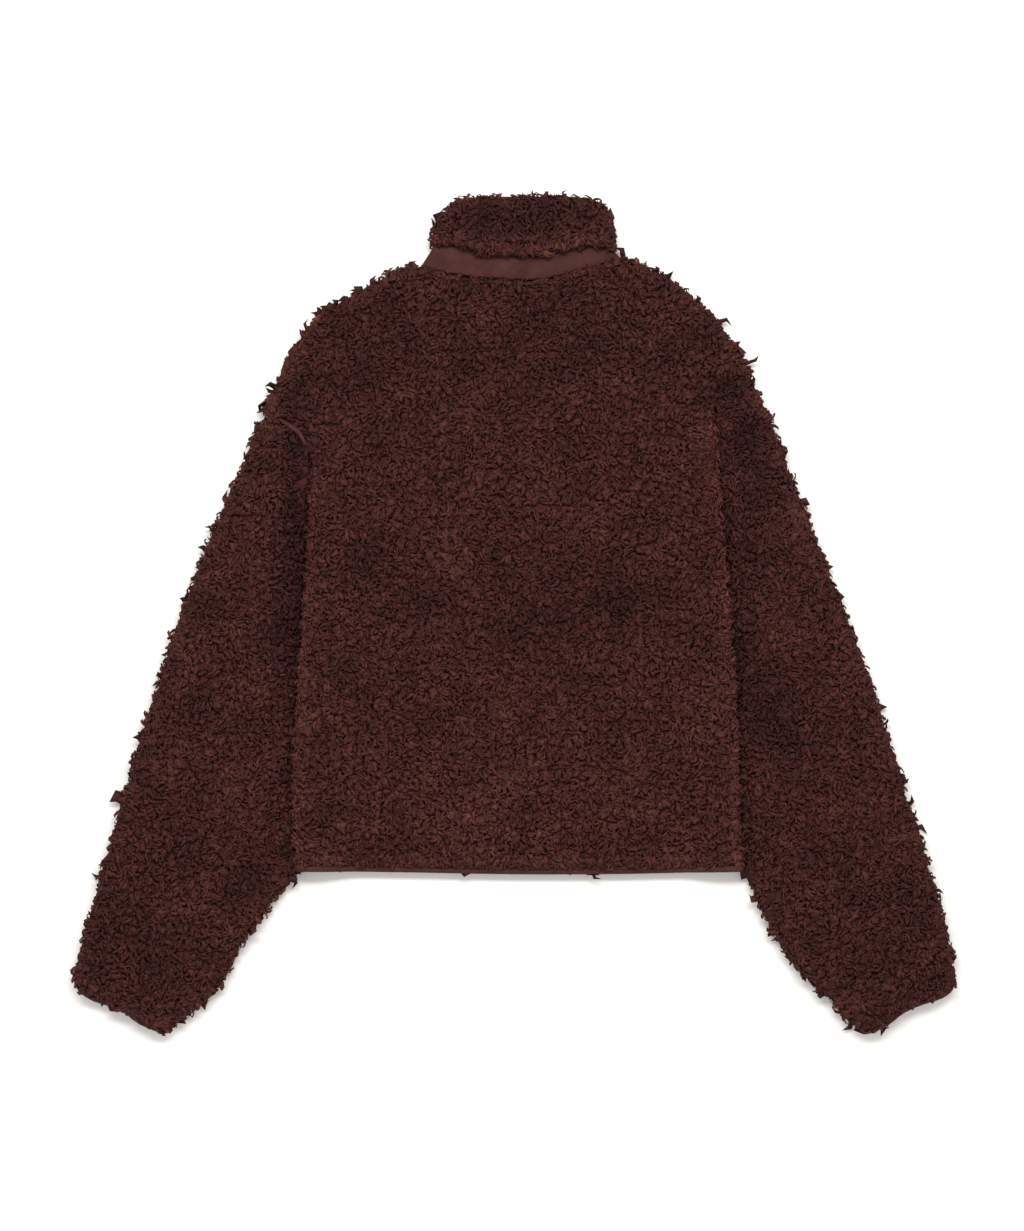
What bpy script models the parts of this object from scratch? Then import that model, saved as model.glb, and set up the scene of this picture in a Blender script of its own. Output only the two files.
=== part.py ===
"""A curly pile fleece jacket laid flat on its front, with its back up.

Every piece is a wall of cloth and pile between an outer and an inner surface.
Three fields over the plan set all the heights: floor() is the underside, crest() is
the top, and middle() is the slit between the two layers, where the seams lie.
Plan tables are in millimetres: x to the right, y towards the collar, z up.
The origin is under the middle of the outline.
"""

import bmesh
import bpy
import numpy as np
from mathutils import Matrix, Vector

MM = 0.001

# Walls and edges
BODY_HEIGHT = 27.0  # front and back together, cloth and pile
SIDE_HEIGHT = 33.0  # at the side edges, which lie on the sleeves
SLEEVE_HEIGHT = 31.0
SIDE_LIFT = 15.6  # underside of the side edges, above the sleeve folded beneath
TUCKED_HEIGHT = 14.4  # sleeve where it lies beneath the body
ARMHOLE_RISE = 8.0  # how much higher it is at the lower end of the visible armhole
MIDDLE = 0.44  # height of the seams, as a share of the thickness
SLIT = 2.4  # between the two layers
SEAM_GAP = 0.36  # between pieces that are sewn together
FOLD_COLUMNS = 2  # columns of a sleeve that its wall takes at each fold
ARMHOLE_GAP = 0.4
SLEEVE_RUN = 610.0  # mean length of a sleeve in plan
FRONT_PARTING = 0.07  # share of the neck over which the front leaves the back
COLLAR_LEVEL_RUN = 26.0  # height of the collar from one level to the next
BODY_ROUND = 15.0  # radius of the pile at the body's edges, in plan
SLEEVE_ROUND = 17.0
UNDER_ROUND = 9.0
ARMHOLE_RUN = 40.0  # the body's height changes over this beside the armhole
LIFT_FLAT = 18.0  # width of the raised side edge
SIDE_START = 58.0  # the side edge rises over this below the armhole
LIFT_RUN = 46.0  # width of the ramp beside it
BESIDE_RUN_LEFT = 58.0  # width of the trough in the sleeve beside the body
BESIDE_RUN_RIGHT = 50.0
END_ROUND = 8.0
TRIM_WALL = 5.0  # binding at the hem and cuffs
TRIM_WIDTH = 4.6
BAND_WALL = 4.4

# Zip at the centre front
FRONT_X = 7.0
CHANNEL = 16.0  # between the two front edges
TAPE = (14.6, 6.9, 8.7)  # width, bottom, top
COIL = (4.6, 4.7)  # width, bottom
ZIP_TOP_INSET = 4.0
SLIDER_LENGTH = 12.0
SLIDER_WIDTH = 8.6
SLIDER_DROP = 22.0  # from the top end of the zip to the slider's middle
PULL_LENGTH = 24.0
PULL_WIDTH = 6.4
PULL_THICK = 1.2
SLIDER_PLATE = 1.1
LUG_X = (2.0, 3.1)  # inner and outer face of each lug
PIN_HEIGHT = 1.7
PIN_RADIUS = 0.45

# Outline of the back, columns: x, y. From the neck to the armhole, down it, to the hem.
SHOULDER_LEFT = (
    (-92, 349), (-108, 352), (-126, 341), (-158, 321), (-195, 300), (-210, 281),
    (-223, 260), (-233, 240), (-243, 220), (-249, 204),
)
ARMHOLE_LEFT = ((-249, 204), (-239, 198.5), (-225, 190), (-213, 181), (-205, 165))
SIDE_LEFT = (
    (-205, 165), (-204, 115), (-207, 60), (-210, 10), (-216, -85), (-220, -185),
    (-217, -250),
)
SHOULDER_RIGHT = (
    (110, 356), (124, 355), (154, 341), (181, 321), (203, 300), (217, 281),
    (231, 260), (238.5, 245),
)
ARMHOLE_RIGHT = ((238.5, 245), (230, 238.5), (221, 231), (211, 222.5), (203, 212))
SIDE_RIGHT = (
    (203, 212), (205, 163), (208, 115), (213, 60), (217, 10), (223, -85), (227, -185),
    (229, -250),
)
NECK_BACK = (
    (-92, 349), (-73, 343), (-49, 339), (-33, 337), (5, 335), (27, 335),
    (46, 339), (70, 346), (94, 351), (110, 356),
)
HEM = ((-217, -250), (-110, -251.5), (7, -253.5), (120, -253), (229, -250))

# Sleeves, columns: x, y. The outer fold from the shoulder to the cuff, the inner fold
# from the end of the armhole to the cuff, and the cuff from the outer fold to the inner.
OUTER_LEFT = (
    (-249, 204), (-261, 180), (-278, 140), (-298, 98), (-313, 60), (-329, 20),
    (-343, -20), (-356, -60), (-368, -100), (-380, -140), (-391, -180), (-403, -220),
    (-415, -260), (-424, -300), (-436, -338), (-441, -362),
)
UNDER_LEFT = ((-205, 165), (-204.5, 128), (-199, 95), (-200, 40), (-203, -25))
INNER_LEFT = (
    (-203, -25), (-206, -85), (-209, -150), (-208, -205), (-206, -240), (-216, -262),
    (-233, -281), (-249, -302), (-264, -322), (-279, -348), (-297, -378), (-322, -401),
    (-349, -419.5),
)
CUFF_LEFT = (
    (-441, -362), (-434, -376), (-420, -386), (-393, -395), (-374, -409), (-349, -419.5),
)
OUTER_RIGHT = (
    (238.5, 245), (244, 230), (253, 208), (268, 180), (280, 140), (297, 98), (312, 60), (327, 20),
    (343, -20), (358, -60), (371, -100), (384, -140), (396, -180), (409, -220),
    (421, -260), (431, -300), (439, -335), (441, -362),
)
UNDER_RIGHT = (
    (203, 212), (205.4, 173), (201.5, 138), (203.5, 95), (208, 40), (210, -25),
)
INNER_RIGHT = (
    (210, -25), (213, -85), (216, -150), (218, -205), (220, -240), (231, -264),
    (243, -290), (258, -318), (272, -342), (292, -368), (314, -384), (330, -404),
    (355, -419.5),
)
CUFF_RIGHT = (
    (441, -362), (440, -374), (430, -383), (409, -390), (391, -398), (374, -411),
    (355, -419.5),
)

# Neck, columns: x, y. Four levels from the neck seam to the collar's top edge.
BACK_LEVELS = (
    NECK_BACK,
    ((-80, 368), (-73, 371), (-46, 368), (-25, 361), (22, 359), (38, 363),
     (70, 369), (94, 366), (102, 363)),
    ((-82, 386), (-60, 390), (-20, 388), (10, 387), (50, 389), (84, 390), (104, 385)),
    ((-67, 409), (-52, 415.5), (-28, 419.2), (10, 419.2), (60, 419.2), (80, 415.5),
     (95, 408)),
)
FRONT_LEVELS = (
    ((-92, 349), (-80, 316), (-58, 294), (-30, 281), (7, 277), (44, 281), (74, 296),
     (98, 322), (110, 356)),
    ((-80, 368), (-66, 340), (-45, 318), (-22, 306), (7, 302), (38, 306), (64, 320),
     (88, 342), (102, 363)),
    ((-82, 386), (-66, 362), (-45, 343), (-22, 333), (7, 330), (38, 333), (64, 345),
     (90, 364), (104, 385)),
    ((-67, 409), (-54, 386), (-38, 369), (-18, 360), (7, 357), (34, 360), (58, 371),
     (80, 389), (95, 408)),
)
BAND_ENDS = (0.03, 0.97)  # shares of the run from the neck seam to the band's top

# Largest folds, columns: x, y, half length, half width, direction in degrees, height.
FOLDS = (
    (-85, 22, 105, 30, -14, -4.6),
    (98, 2, 85, 28, 20, -4.2),
    (-4, 46, 34, 9, -56, -2.8),
    (12, 163, 125, 18, 13, 2.2),
    (-168, 250, 48, 22, 38, -2.4),
    (27, 232, 55, 24, 90, -2.6),
    (160, 282, 42, 20, -38, -2.0),
    (-180, 170, 62, 14, 88, 2.4),
    (192, 60, 180, 14, 90, 2.2),
    (-43, -200, 70, 30, 4, 3.0),
    (-190, -222, 30, 20, 10, 1.6),
    (20, -110, 110, 40, 8, 2.0),
    (-328, -222, 38, 18, 62, -4.0),
    (-276, -243, 48, 14, 12, -3.6),
    (-326, -294, 26, 20, 30, 3.6),
    (-262, -206, 26, 14, 12, 2.6),
    (-300, 30, 110, 22, 66, 2.4),
    (-374, -330, 34, 16, 60, -2.6),
    (267, -125, 68, 20, -68, -5.0),
    (298, -232, 32, 18, -30, -4.0),
    (404, -292, 30, 12, -76, -3.0),
    (300, 40, 110, 22, -66, 2.4),
    (348, -190, 70, 22, -66, 2.6),
    (350, -330, 40, 16, -52, 2.4),
)

# Where the rows and columns of points lie, as shares of the run
NEAR_EDGE = (0.0, 0.03, 0.12, 0.28, 0.5, 0.76, 1.0)
TO_UNDERARM = (0.1, 0.23, 0.37, 0.51, 0.64, 0.76, 0.86, 0.935, 0.98, 1.0)
SHOULDER_ROWS = 12
SIDE_ROWS = 22
BACK_COLUMNS = 32
SLEEVE_RINGS = 34
SIDE_FADE = 1.15  # how soon a side's shape fades towards the middle of the body


def smooth(value):
    value = np.clip(value, 0.0, 1.0)
    return value * value * (3.0 - 2.0 * value)


def rounded(distance, radius):
    """Height of a quarter round, from 0 at the edge to 1 a radius inside it."""
    inside = 1.0 - np.clip(distance / radius, 0.0, 1.0)
    return np.sqrt(np.clip(1.0 - inside * inside, 0.0, 1.0))


def line(table, shares):
    """Points at shares of the length of a smooth line through a table of points."""
    knots = np.array(table, float)
    padded = np.vstack([2 * knots[0] - knots[1], knots, 2 * knots[-1] - knots[-2]])
    step = np.linspace(0, 1, 12, endpoint=False)[:, None]
    runs = []
    for k in range(len(knots) - 1):
        a, b, c, d = padded[k : k + 4]
        bend = step * step * (2 * a - 5 * b + 4 * c - d)
        twist = step**3 * (3 * b - a - 3 * c + d)
        runs.append(b + 0.5 * (step * (c - a) + bend + twist))
    dense = np.vstack(runs + [knots[-1:]])
    along = np.concatenate([[0], np.cumsum(np.linalg.norm(np.diff(dense, axis=0), axis=1))])
    at = np.asarray(shares) * along[-1]
    return np.stack([np.interp(at, along, dense[:, k]) for k in (0, 1)], axis=-1)


def joined(*lines):
    """Lines that follow each other, without the points they share."""
    return np.vstack([lines[0]] + [part[1:] for part in lines[1:]])


def across(table, x):
    """The y of a table's line at given x."""
    dense = line(table, np.linspace(0, 1, 160))
    return np.interp(x, dense[:, 0], dense[:, 1])


def distance_to(points, way):
    """Distance in plan from each point to a line of points, and its nearest share."""
    start, run = way[:-1], np.diff(way, axis=0)
    offset = points[..., None, :] - start
    share = np.clip((offset * run).sum(-1) / (run * run).sum(-1), 0.0, 1.0)
    gap = np.linalg.norm(offset - share[..., None] * run, axis=-1)
    nearest = gap.argmin(-1)
    return gap.min(-1), nearest + np.take_along_axis(share, nearest[..., None], -1)[..., 0]


def patch(top, bottom, left, right, runs, weights):
    """Grid of plan points between four lines: rows run from left to right.

    Rows are straight runs from top to bottom at shares of the way, to which each
    side adds how far it is from its own straight run, with a weight per column."""
    v = runs[:, None, None]
    grid = top[None] + v * (bottom - top)[None]
    for side, corner, weight in ((left, 0, weights[0]), (right, -1, weights[1])):
        straight = top[corner] + runs[:, None] * (bottom[corner] - top[corner])
        grid = grid + weight[None, :, None] * (side - straight)[:, None]
    return grid


def share_of(one, other):
    """Mean share of the length at each point of two lines."""
    shares = []
    for way in (one, other):
        along = np.cumsum(np.linalg.norm(np.diff(way, axis=0), axis=1))
        shares.append(np.concatenate([[0], along]) / along[-1])
    return np.mean(shares, axis=0)


def dense_edges():
    """Outline lines that the height fields measure from."""
    shares = np.linspace(0, 1, 40)
    edges = {}
    for side, shoulder, armhole, seam in (
        ("left", SHOULDER_LEFT, ARMHOLE_LEFT, SIDE_LEFT),
        ("right", SHOULDER_RIGHT, ARMHOLE_RIGHT, SIDE_RIGHT),
    ):
        edges[side, "armhole"] = line(armhole, shares)
        edges[side, "seam"] = line(seam, shares)
        edges[side, "all"] = joined(line(shoulder, shares), line(armhole, shares),
                                    line(seam, shares))
    return edges


EDGES = dense_edges()


def folds(points):
    """Soft troughs and ridges, each a long bell in its own direction."""
    height = np.zeros(points.shape[:-1])
    for x, y, length, width, turn, rise in FOLDS:
        angle = np.radians(turn)
        offset = points - (x, y)
        along = offset[..., 0] * np.cos(angle) + offset[..., 1] * np.sin(angle)
        beside = offset[..., 1] * np.cos(angle) - offset[..., 0] * np.sin(angle)
        height += rise * np.exp(-((along / length) ** 2) - (beside / width) ** 2)
    return height


def raised(points, side):
    """1 on the side edge that lies on a sleeve, falling to 0 inside the body."""
    gap, _ = distance_to(points, EDGES[side, "seam"])
    corner = EDGES[side, "seam"][0, 1]
    started = smooth((corner - points[..., 1]) / SIDE_START)
    return smooth((LIFT_FLAT + LIFT_RUN - gap) / LIFT_RUN) * started


def floor(points):
    """Underside of the body, mm above the ground."""
    return SIDE_LIFT * np.maximum(raised(points, "left"), raised(points, "right"))


def sleeve_crest(points, side, creased=True):
    """Top of a sleeve: low beside and beneath the body, full further out."""
    run = BESIDE_RUN_LEFT if side == "left" else BESIDE_RUN_RIGHT
    gap, _ = distance_to(points, EDGES[side, "seam"])
    inward = 1.0 if side == "left" else -1.0
    seam_x = np.interp(-points[..., 1], -EDGES[side, "seam"][:, 1],
                       EDGES[side, "seam"][:, 0])
    beneath = ((points[..., 0] - seam_x) * inward > 0) & (points[..., 1] > -252)
    share = np.where(beneath, 0.0, smooth((gap - 2.0) / run))
    full = SLEEVE_HEIGHT + (folds(points) if creased else 0.0)
    corner = EDGES[side, "seam"][0, 1]
    low = TUCKED_HEIGHT + ARMHOLE_RISE * smooth((points[..., 1] - corner) / 45.0 + 1.0)
    return low + (full - low) * share


def crest(points, creased=True):
    """Top of the body, which meets each sleeve's height along the armhole."""
    lift = np.maximum(raised(points, "left"), raised(points, "right"))
    top = BODY_HEIGHT + (SIDE_HEIGHT - BODY_HEIGHT) * lift
    if creased:
        top = top + folds(points)
    for side in ("left", "right"):
        gap, _ = distance_to(points, EDGES[side, "armhole"])
        share = smooth(gap / ARMHOLE_RUN)
        top = sleeve_crest(points, side, creased) * (1 - share) + top * share
    return top


def middle(low, high):
    """Height of the seams between an underside and a top."""
    return low + MIDDLE * (high - low)


def body_seam(points):
    """Height of the slit in the body, which leaves the creases out."""
    return middle(floor(points), crest(points, creased=False))


def end_share(distance):
    """Thickness of the pile near an open end, as a share of the full one."""
    return 0.72 + 0.28 * rounded(distance, END_ROUND)


def border_of(rows, columns):
    """Row and column of each point round a grid, from its first point."""
    across_top = [(0, c) for c in range(columns - 1)]
    down = [(r, columns - 1) for r in range(rows - 1)]
    back = [(rows - 1, c) for c in range(columns - 1, 0, -1)]
    return across_top + down + back + [(r, 0) for r in range(rows - 1, 0, -1)]


def grid_faces(rows, columns, first, closed):
    """Quads of a grid of points; a closed one joins its last column to its first."""
    index = first + np.arange(rows * columns).reshape(rows, columns)
    if closed:
        index = np.hstack([index, index[:, :1]])
    quads = np.stack([index[:-1, :-1], index[:-1, 1:], index[1:, 1:], index[1:, :-1]], -1)
    return quads.reshape(-1, 4).tolist()


def bridge(loop, nearest):
    """Faces from a closed loop to the inner point that belongs to each of its points."""
    faces = []
    for k, near in enumerate(nearest):
        after = (k + 1) % len(loop)
        faces.append([loop[k], loop[after], near])
        if nearest[after] != near:
            faces.append([loop[after], nearest[after], near])
    return faces


def mesh_object(name, points, faces, material):
    """A closed mesh, mm to metres, with its faces turned out and shaded smooth."""
    mesh = bpy.data.meshes.new(name)
    mesh.from_pydata((np.asarray(points) * MM).tolist(), [], faces)
    work = bmesh.new()
    work.from_mesh(mesh)
    quads = [face for face in work.faces if len(face.verts) == 4]
    bmesh.ops.triangulate(work, faces=quads, quad_method="FIXED")
    bmesh.ops.recalc_face_normals(work, faces=work.faces)
    work.to_mesh(mesh)
    work.free()
    mesh.shade_smooth()
    mesh.materials.append(material)
    made = bpy.data.objects.new(name, mesh)
    bpy.context.collection.objects.link(made)
    return made


def wall(name, outer, inner, columns, material, closed=False):
    """A wall between an outer and an inner grid, closed by a rim at its open edges.

    Columns gives the inner column that belongs to each outer one."""
    rows = np.round(np.linspace(0, len(inner) - 1, len(outer))).astype(int)
    start = outer.shape[0] * outer.shape[1]
    index = np.arange(start).reshape(outer.shape[:2])
    inner_index = start + np.arange(inner.shape[0] * inner.shape[1])
    inner_index = inner_index.reshape(inner.shape[:2])
    faces = grid_faces(*outer.shape[:2], 0, closed)
    faces += grid_faces(*inner.shape[:2], start, closed)
    if closed:
        borders = [[(end, c) for c in range(outer.shape[1])] for end in (0, len(outer) - 1)]
    else:
        borders = [border_of(*outer.shape[:2])]
    for border in borders:
        loop = [int(index[r, c]) for r, c in border]
        faces += bridge(loop, [int(inner_index[rows[r], columns[c]]) for r, c in border])
    points = np.vstack([outer.reshape(-1, 3), inner.reshape(-1, 3)])
    return mesh_object(name, points, faces, material)


def straightened(way, first=0, last=None):
    """The same points, with every second one moved between its neighbours."""
    last = len(way) - 1 if last is None else last
    way = way.copy()
    way[first + 1 : last : 2] = (way[first:last:2] + way[first + 2 : last + 1 : 2]) / 2
    return way


# ---- body panels


def outline_shares(side):
    """Points of the outline from neck to hem, and how rounded each is (0 to 1)."""
    tables = {
        "left": (SHOULDER_LEFT, ARMHOLE_LEFT, SIDE_LEFT),
        "right": (SHOULDER_RIGHT, ARMHOLE_RIGHT, SIDE_RIGHT),
    }[side]
    shoulder = line(tables[0], np.linspace(0, 1, SHOULDER_ROWS + 1))
    armhole = straightened(line(tables[1], NEAR_EDGE))
    seam = line(tables[2], np.linspace(0, 1, SIDE_ROWS + 1) ** 1.15)
    turned = np.concatenate([
        1 - smooth(np.linspace(-5, 1, SHOULDER_ROWS + 1)),
        np.zeros(len(NEAR_EDGE) - 1),
        smooth(np.arange(1, SIDE_ROWS + 1) / 3.0),
    ])
    return joined(shoulder, armhole, seam), turned


def offset_line(way, width):
    """A line moved to its right by a width."""
    step = np.diff(way, axis=0)
    step /= np.linalg.norm(step, axis=1)[:, None]
    run = np.vstack([step[:1], step[:-1] + step[1:], step[-1:]])
    run /= np.linalg.norm(run, axis=1)[:, None]
    return way + np.stack([run[:, 1], -run[:, 0]], axis=1) * width


def turned_at(points, side, turned):
    """How rounded the nearest place of the outline is, and the distance to it."""
    gap, at = distance_to(points, outline_shares(side)[0])
    return gap, np.interp(at, np.arange(len(turned)), turned)


def side_round(points, sides, radius):
    """Quarter round towards the outline, left out along the armholes."""
    share = np.ones(points.shape[:-1])
    for side in sides:
        gap, turn = turned_at(points, side, outline_shares(side)[1])
        share = np.minimum(share, 1 - turn * (1 - rounded(gap, radius)))
    return share


def slit_half(points, sides):
    """Half the height of the slit, closing towards the turned edges."""
    share = side_round(points, sides, 26.0)
    return SEAM_GAP / 2 + (SLIT - SEAM_GAP) / 2 * share


def spaced(count, edge=0.75):
    """Shares from 0 to 1, closer together at both ends."""
    even = np.linspace(0, 1, count)
    return (1 - edge) * even + edge * (0.5 - 0.5 * np.cos(np.pi * even))


def crosswise(table):
    """Points of a line across the body, spaced along x."""
    x = table[0][0] + (table[-1][0] - table[0][0]) * spaced(BACK_COLUMNS + 1)
    return straightened(np.column_stack([x, across(table, x)]))


def to_channel(x, side):
    """The half of a row's x from its end to the middle, moved to the front edge."""
    half = x.shape[-1] // 2
    toward = smooth(np.linspace(-1, 1, half + 1))
    if side == "left":
        near = x[..., : half + 1]
        return near + (FRONT_X - CHANNEL / 2 - near[..., -1:]) * toward
    near = x[..., half:]
    return near + (FRONT_X + CHANNEL / 2 - near[..., :1]) * toward[::-1]


def body_plan():
    """Plan grid of the body: rows from the neck to the hem, columns from side to side."""
    rims = [outline_shares(side)[0] for side in ("left", "right")]
    toward = np.linspace(-1, 1, BACK_COLUMNS + 1)
    weights = [np.clip(sign * toward, 0, 1) ** SIDE_FADE for sign in (-1, 1)]
    return patch(crosswise(NECK_BACK), crosswise(HEM), *rims, share_of(*rims), weights)


def front_plan(side):
    """Plan grid of a front: fanned from its own neckline, then as the back's half."""
    plan = body_plan()
    half = plan.shape[1] // 2
    grid = (plan[:, : half + 1] if side == "left" else plan[:, half:]).copy()
    grid[..., 0] = to_channel(plan[..., 0], side)
    neck = straightened(np.column_stack([grid[0, :, 0], front_y(0.0, grid[0, :, 0])]))
    shares = share_of(*[outline_shares(end)[0] for end in ("left", "right")])
    weight = np.linspace(1, 0, half + 1) ** SIDE_FADE
    weights = (weight, 0 * weight) if side == "left" else (0 * weight, weight[::-1])
    fan = patch(neck, grid[-1], grid[:, 0], grid[:, -1], shares, weights)
    share = smooth((shares - 0.1) / 0.2)[:, None, None]
    return grid * share + fan * (1 - share)


def lining_side(plan, sides, sign):
    """The inner surface of a panel, on every second row and column of its plan.

    Its rim lies inside the seams and comes out to the edge along the armhole."""
    keep = inner_columns(plan.shape[1], sides)
    grid, half = plan[::2, keep].copy(), slit_half(plan, sides)[::2, keep]
    for side in sides:
        edge = 0 if side == "left" else -1
        turned = outline_shares(side)[1][::2]
        share = turned[:, None]
        grid[:, edge] = grid[:, edge] * share + plan[::2, edge] * (1 - share)
        half[:, edge] = SEAM_GAP / 2 + (SLIT - SEAM_GAP) / 2 * (1 - turned)
    return np.dstack([grid, body_seam(grid) + sign * half])


def inner_columns(count, sides):
    """Every second column, between the walls at the named sides."""
    first = 2 if "left" in sides else 0
    last = count - 3 if "right" in sides else count - 1
    return list(range(first, last + 1, 2))


def nearest_columns(count, keep):
    """For each column, the kept one that it is joined to."""
    return [int(np.abs(np.array(keep) - column).argmin()) for column in range(count)]


def back_wall(pile):
    plan, sides = body_plan(), ("left", "right")
    seam = body_seam(plan) + SEAM_GAP / 2
    ends = end_share(plan[..., 1] - across(HEM, plan[..., 0]))
    share = side_round(plan, sides, BODY_ROUND) * ends
    outer = np.dstack([plan, seam + (crest(plan) - seam) * share])
    columns = nearest_columns(plan.shape[1], inner_columns(plan.shape[1], sides))
    wall("back", outer, lining_side(plan, sides, 1), columns, pile)


def front_wall(side, pile):
    plan = front_plan(side)
    low, seam = floor(plan), body_seam(plan) - SEAM_GAP / 2
    ends = end_share(plan[..., 1] - across(HEM, plan[..., 0]))
    share = side_round(plan, (side,), UNDER_ROUND) * ends
    share *= 0.8 + 0.2 * rounded(np.abs(plan[..., 0] - FRONT_X) - CHANNEL / 2, 7.0)
    outer = np.dstack([plan, seam - (seam - low) * share])
    columns = nearest_columns(plan.shape[1], inner_columns(plan.shape[1], (side,)))
    wall("front_" + side, outer, lining_side(plan, (side,), -1), columns, pile)


# ---- sleeves


def sleeve_plan(side, runs):
    """Plan points of a sleeve: rows along it, columns from the outer to the inner fold."""
    outer, armhole, under, inner, cuff = {
        "left": (OUTER_LEFT, ARMHOLE_LEFT, UNDER_LEFT, INNER_LEFT, CUFF_LEFT),
        "right": (OUTER_RIGHT, ARMHOLE_RIGHT, UNDER_RIGHT, INNER_RIGHT, CUFF_RIGHT),
    }[side]
    armhole = straightened(line(armhole, NEAR_EDGE))
    first = joined(armhole, line(under, (0,) + TO_UNDERARM))
    last = line(cuff, share_of(first, first))
    shares, sides = share_of(first, first), (line(outer, runs), line(inner, runs))
    plan = patch(first, last, *sides, runs, (1 - shares, shares))
    if runs[0] == 0.0:
        plan[0] = offset_line(first, (1 if side == "left" else -1) * ARMHOLE_GAP)
    return plan


def fold_distance(plan):
    """Distance of each point to the nearer fold of its row."""
    left = np.linalg.norm(plan - plan[:, :1], axis=-1)
    right = np.linalg.norm(plan - plan[:, -1:], axis=-1)
    return np.minimum(left, right)


def ring(plan, low, high, share):
    """Rows of closed loops: over the top from fold to fold, and back beneath."""
    seam = middle(low, high)
    top = np.dstack([plan, seam + (high - seam) * share])
    under = np.dstack([plan, seam - (seam - low) * share])
    return np.hstack([top, under[:, -2:0:-1]])


def bore(plan, low, high, half):
    """Rows of closed loops round the slit, some columns inside the folds."""
    seam = middle(low, high)
    top, under = np.dstack([plan, seam + half]), np.dstack([plan, seam - half])
    keep = slice(FOLD_COLUMNS, plan.shape[1] - FOLD_COLUMNS)
    return np.hstack([top[:, keep], under[:, keep][:, ::-1]])


def bore_columns(count):
    """For each column of a ring, the column of the bore that it is joined to."""
    last = count - 1 - FOLD_COLUMNS
    top = [int(np.clip(k, FOLD_COLUMNS, last)) - FOLD_COLUMNS for k in range(count)]
    across_bore = last - FOLD_COLUMNS + 1
    under = [2 * across_bore - 1 - top[k] for k in range(count - 2, 0, -1)]
    return top + under


def sleeve_wall(side, pile):
    end = 1.0 - (TRIM_WIDTH + SEAM_GAP) / SLEEVE_RUN
    runs = np.linspace(0, end, SLEEVE_RINGS + 1)
    plan = sleeve_plan(side, runs)
    high, gap = sleeve_crest(plan, side), fold_distance(plan)
    low = np.zeros(high.shape)
    share = rounded(gap, SLEEVE_ROUND) * end_share((end - runs)[:, None] * SLEEVE_RUN)
    half = smooth(gap / 40.0) * (SLIT / 2 - 0.4) + 0.4
    inner = bore(plan, low, high, half)[::2]
    columns = bore_columns(plan.shape[1])
    wall("sleeve_" + side, ring(plan, low, high, share), inner, columns, pile, True)


def cuff_wall(side, trim):
    runs = np.linspace(1.0 - TRIM_WIDTH / SLEEVE_RUN, 1.0, 3)
    plan = sleeve_plan(side, runs)
    seam = middle(0.0, sleeve_crest(plan, side))
    low, high = seam - TRIM_WALL * MIDDLE * 2, seam + TRIM_WALL * (1 - MIDDLE) * 2
    share = rounded(fold_distance(plan), 6.0) * np.array([1.0, 1.0, 0.8])[:, None]
    columns = bore_columns(plan.shape[1])
    inner = bore(plan, low, high, 0.6)[::2]
    wall("cuff_binding_" + side, ring(plan, low, high, share), inner, columns, trim, True)


# ---- neck: rings open at the centre front


def level_ends(level):
    """The x of both side folds at a level between the tables."""
    index = min(int(level), len(BACK_LEVELS) - 2)
    part = level - index
    below, above = BACK_LEVELS[index], BACK_LEVELS[index + 1]
    return [(1 - part) * below[k][0] + part * above[k][0] for k in (0, -1)]


def level_y(levels, level, x):
    """The y of a line across the neck at a level between the tables."""
    index = min(int(level), len(levels) - 2)
    part = level - index
    ends = level_ends(level)
    share = (x - ends[0]) / (ends[1] - ends[0])
    y = 0.0
    for table, weight in ((levels[index], 1 - part), (levels[index + 1], part)):
        y = y + weight * across(table, table[0][0] + share * (table[-1][0] - table[0][0]))
    return y


def split_ring(ends):
    """The x from one front edge beneath, over the back and to the other front edge.

    The layer is -1 beneath, 0 at the folds and 1 on top."""
    back = ends[0] + (ends[1] - ends[0]) * spaced(BACK_COLUMNS + 1)
    left, right = to_channel(back, "left")[::-1], to_channel(back, "right")[::-1]
    below, above = -np.ones(len(left) - 1), np.ones(len(back) - 2)
    layer = np.concatenate([below, [0], above, [0], below])
    return np.concatenate([left, back[1:-1], right]), layer


def front_y(level, x):
    """The front's line at a level: it leaves the back's line beyond the fold."""
    ends = level_ends(level)
    share = fold_gap(x, ends) / (ends[1] - ends[0])
    parted = smooth((share - spaced(BACK_COLUMNS + 1)[2]) / FRONT_PARTING)
    back = level_y(BACK_LEVELS, level, x)
    return back + (level_y(FRONT_LEVELS, level, x) - back) * parted


def neck_plan(level, x, layer):
    """Plan points of a ring at a level, beneath on the front's line and on top."""
    back = level_y(BACK_LEVELS, level, x)
    y = np.where(layer < 0, front_y(level, x), back)
    return straightened(np.column_stack([x, y]))


def neck_strip(levels, wall_depth, radius, skipped):
    """Outer and inner grids of a ring at the neck, open at the centre front."""
    outer, inner = [], []
    for level in levels:
        ends = level_ends(level)
        x, layer = split_ring(ends)
        plan = neck_plan(level, x, layer)
        seam, share = body_seam(plan), rounded(fold_gap(x, ends), radius)
        if wall_depth is None:
            top = end_share((levels[-1] - level) * COLLAR_LEVEL_RUN)
            reach = np.where(layer > 0, crest(plan) - seam, seam) * share * top
        else:
            reach = (SLIT / 2 + wall_depth) * share
        outer.append(np.column_stack([plan, seam + layer * reach]))
        inner.append(np.column_stack([plan, seam + layer * slit_height(x, ends)]))
    keep = slit_columns(skipped)
    return np.array(outer), np.array(inner)[:: len(levels) - 1, keep], keep


def fold_gap(x, ends):
    return np.minimum(np.abs(x - ends[0]), np.abs(x - ends[1]))


def slit_height(x, ends):
    """Half the height of the slit in a ring."""
    return 0.5 + (SLIT / 2 - 0.5) * rounded(fold_gap(x, ends), 18.0)


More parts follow.
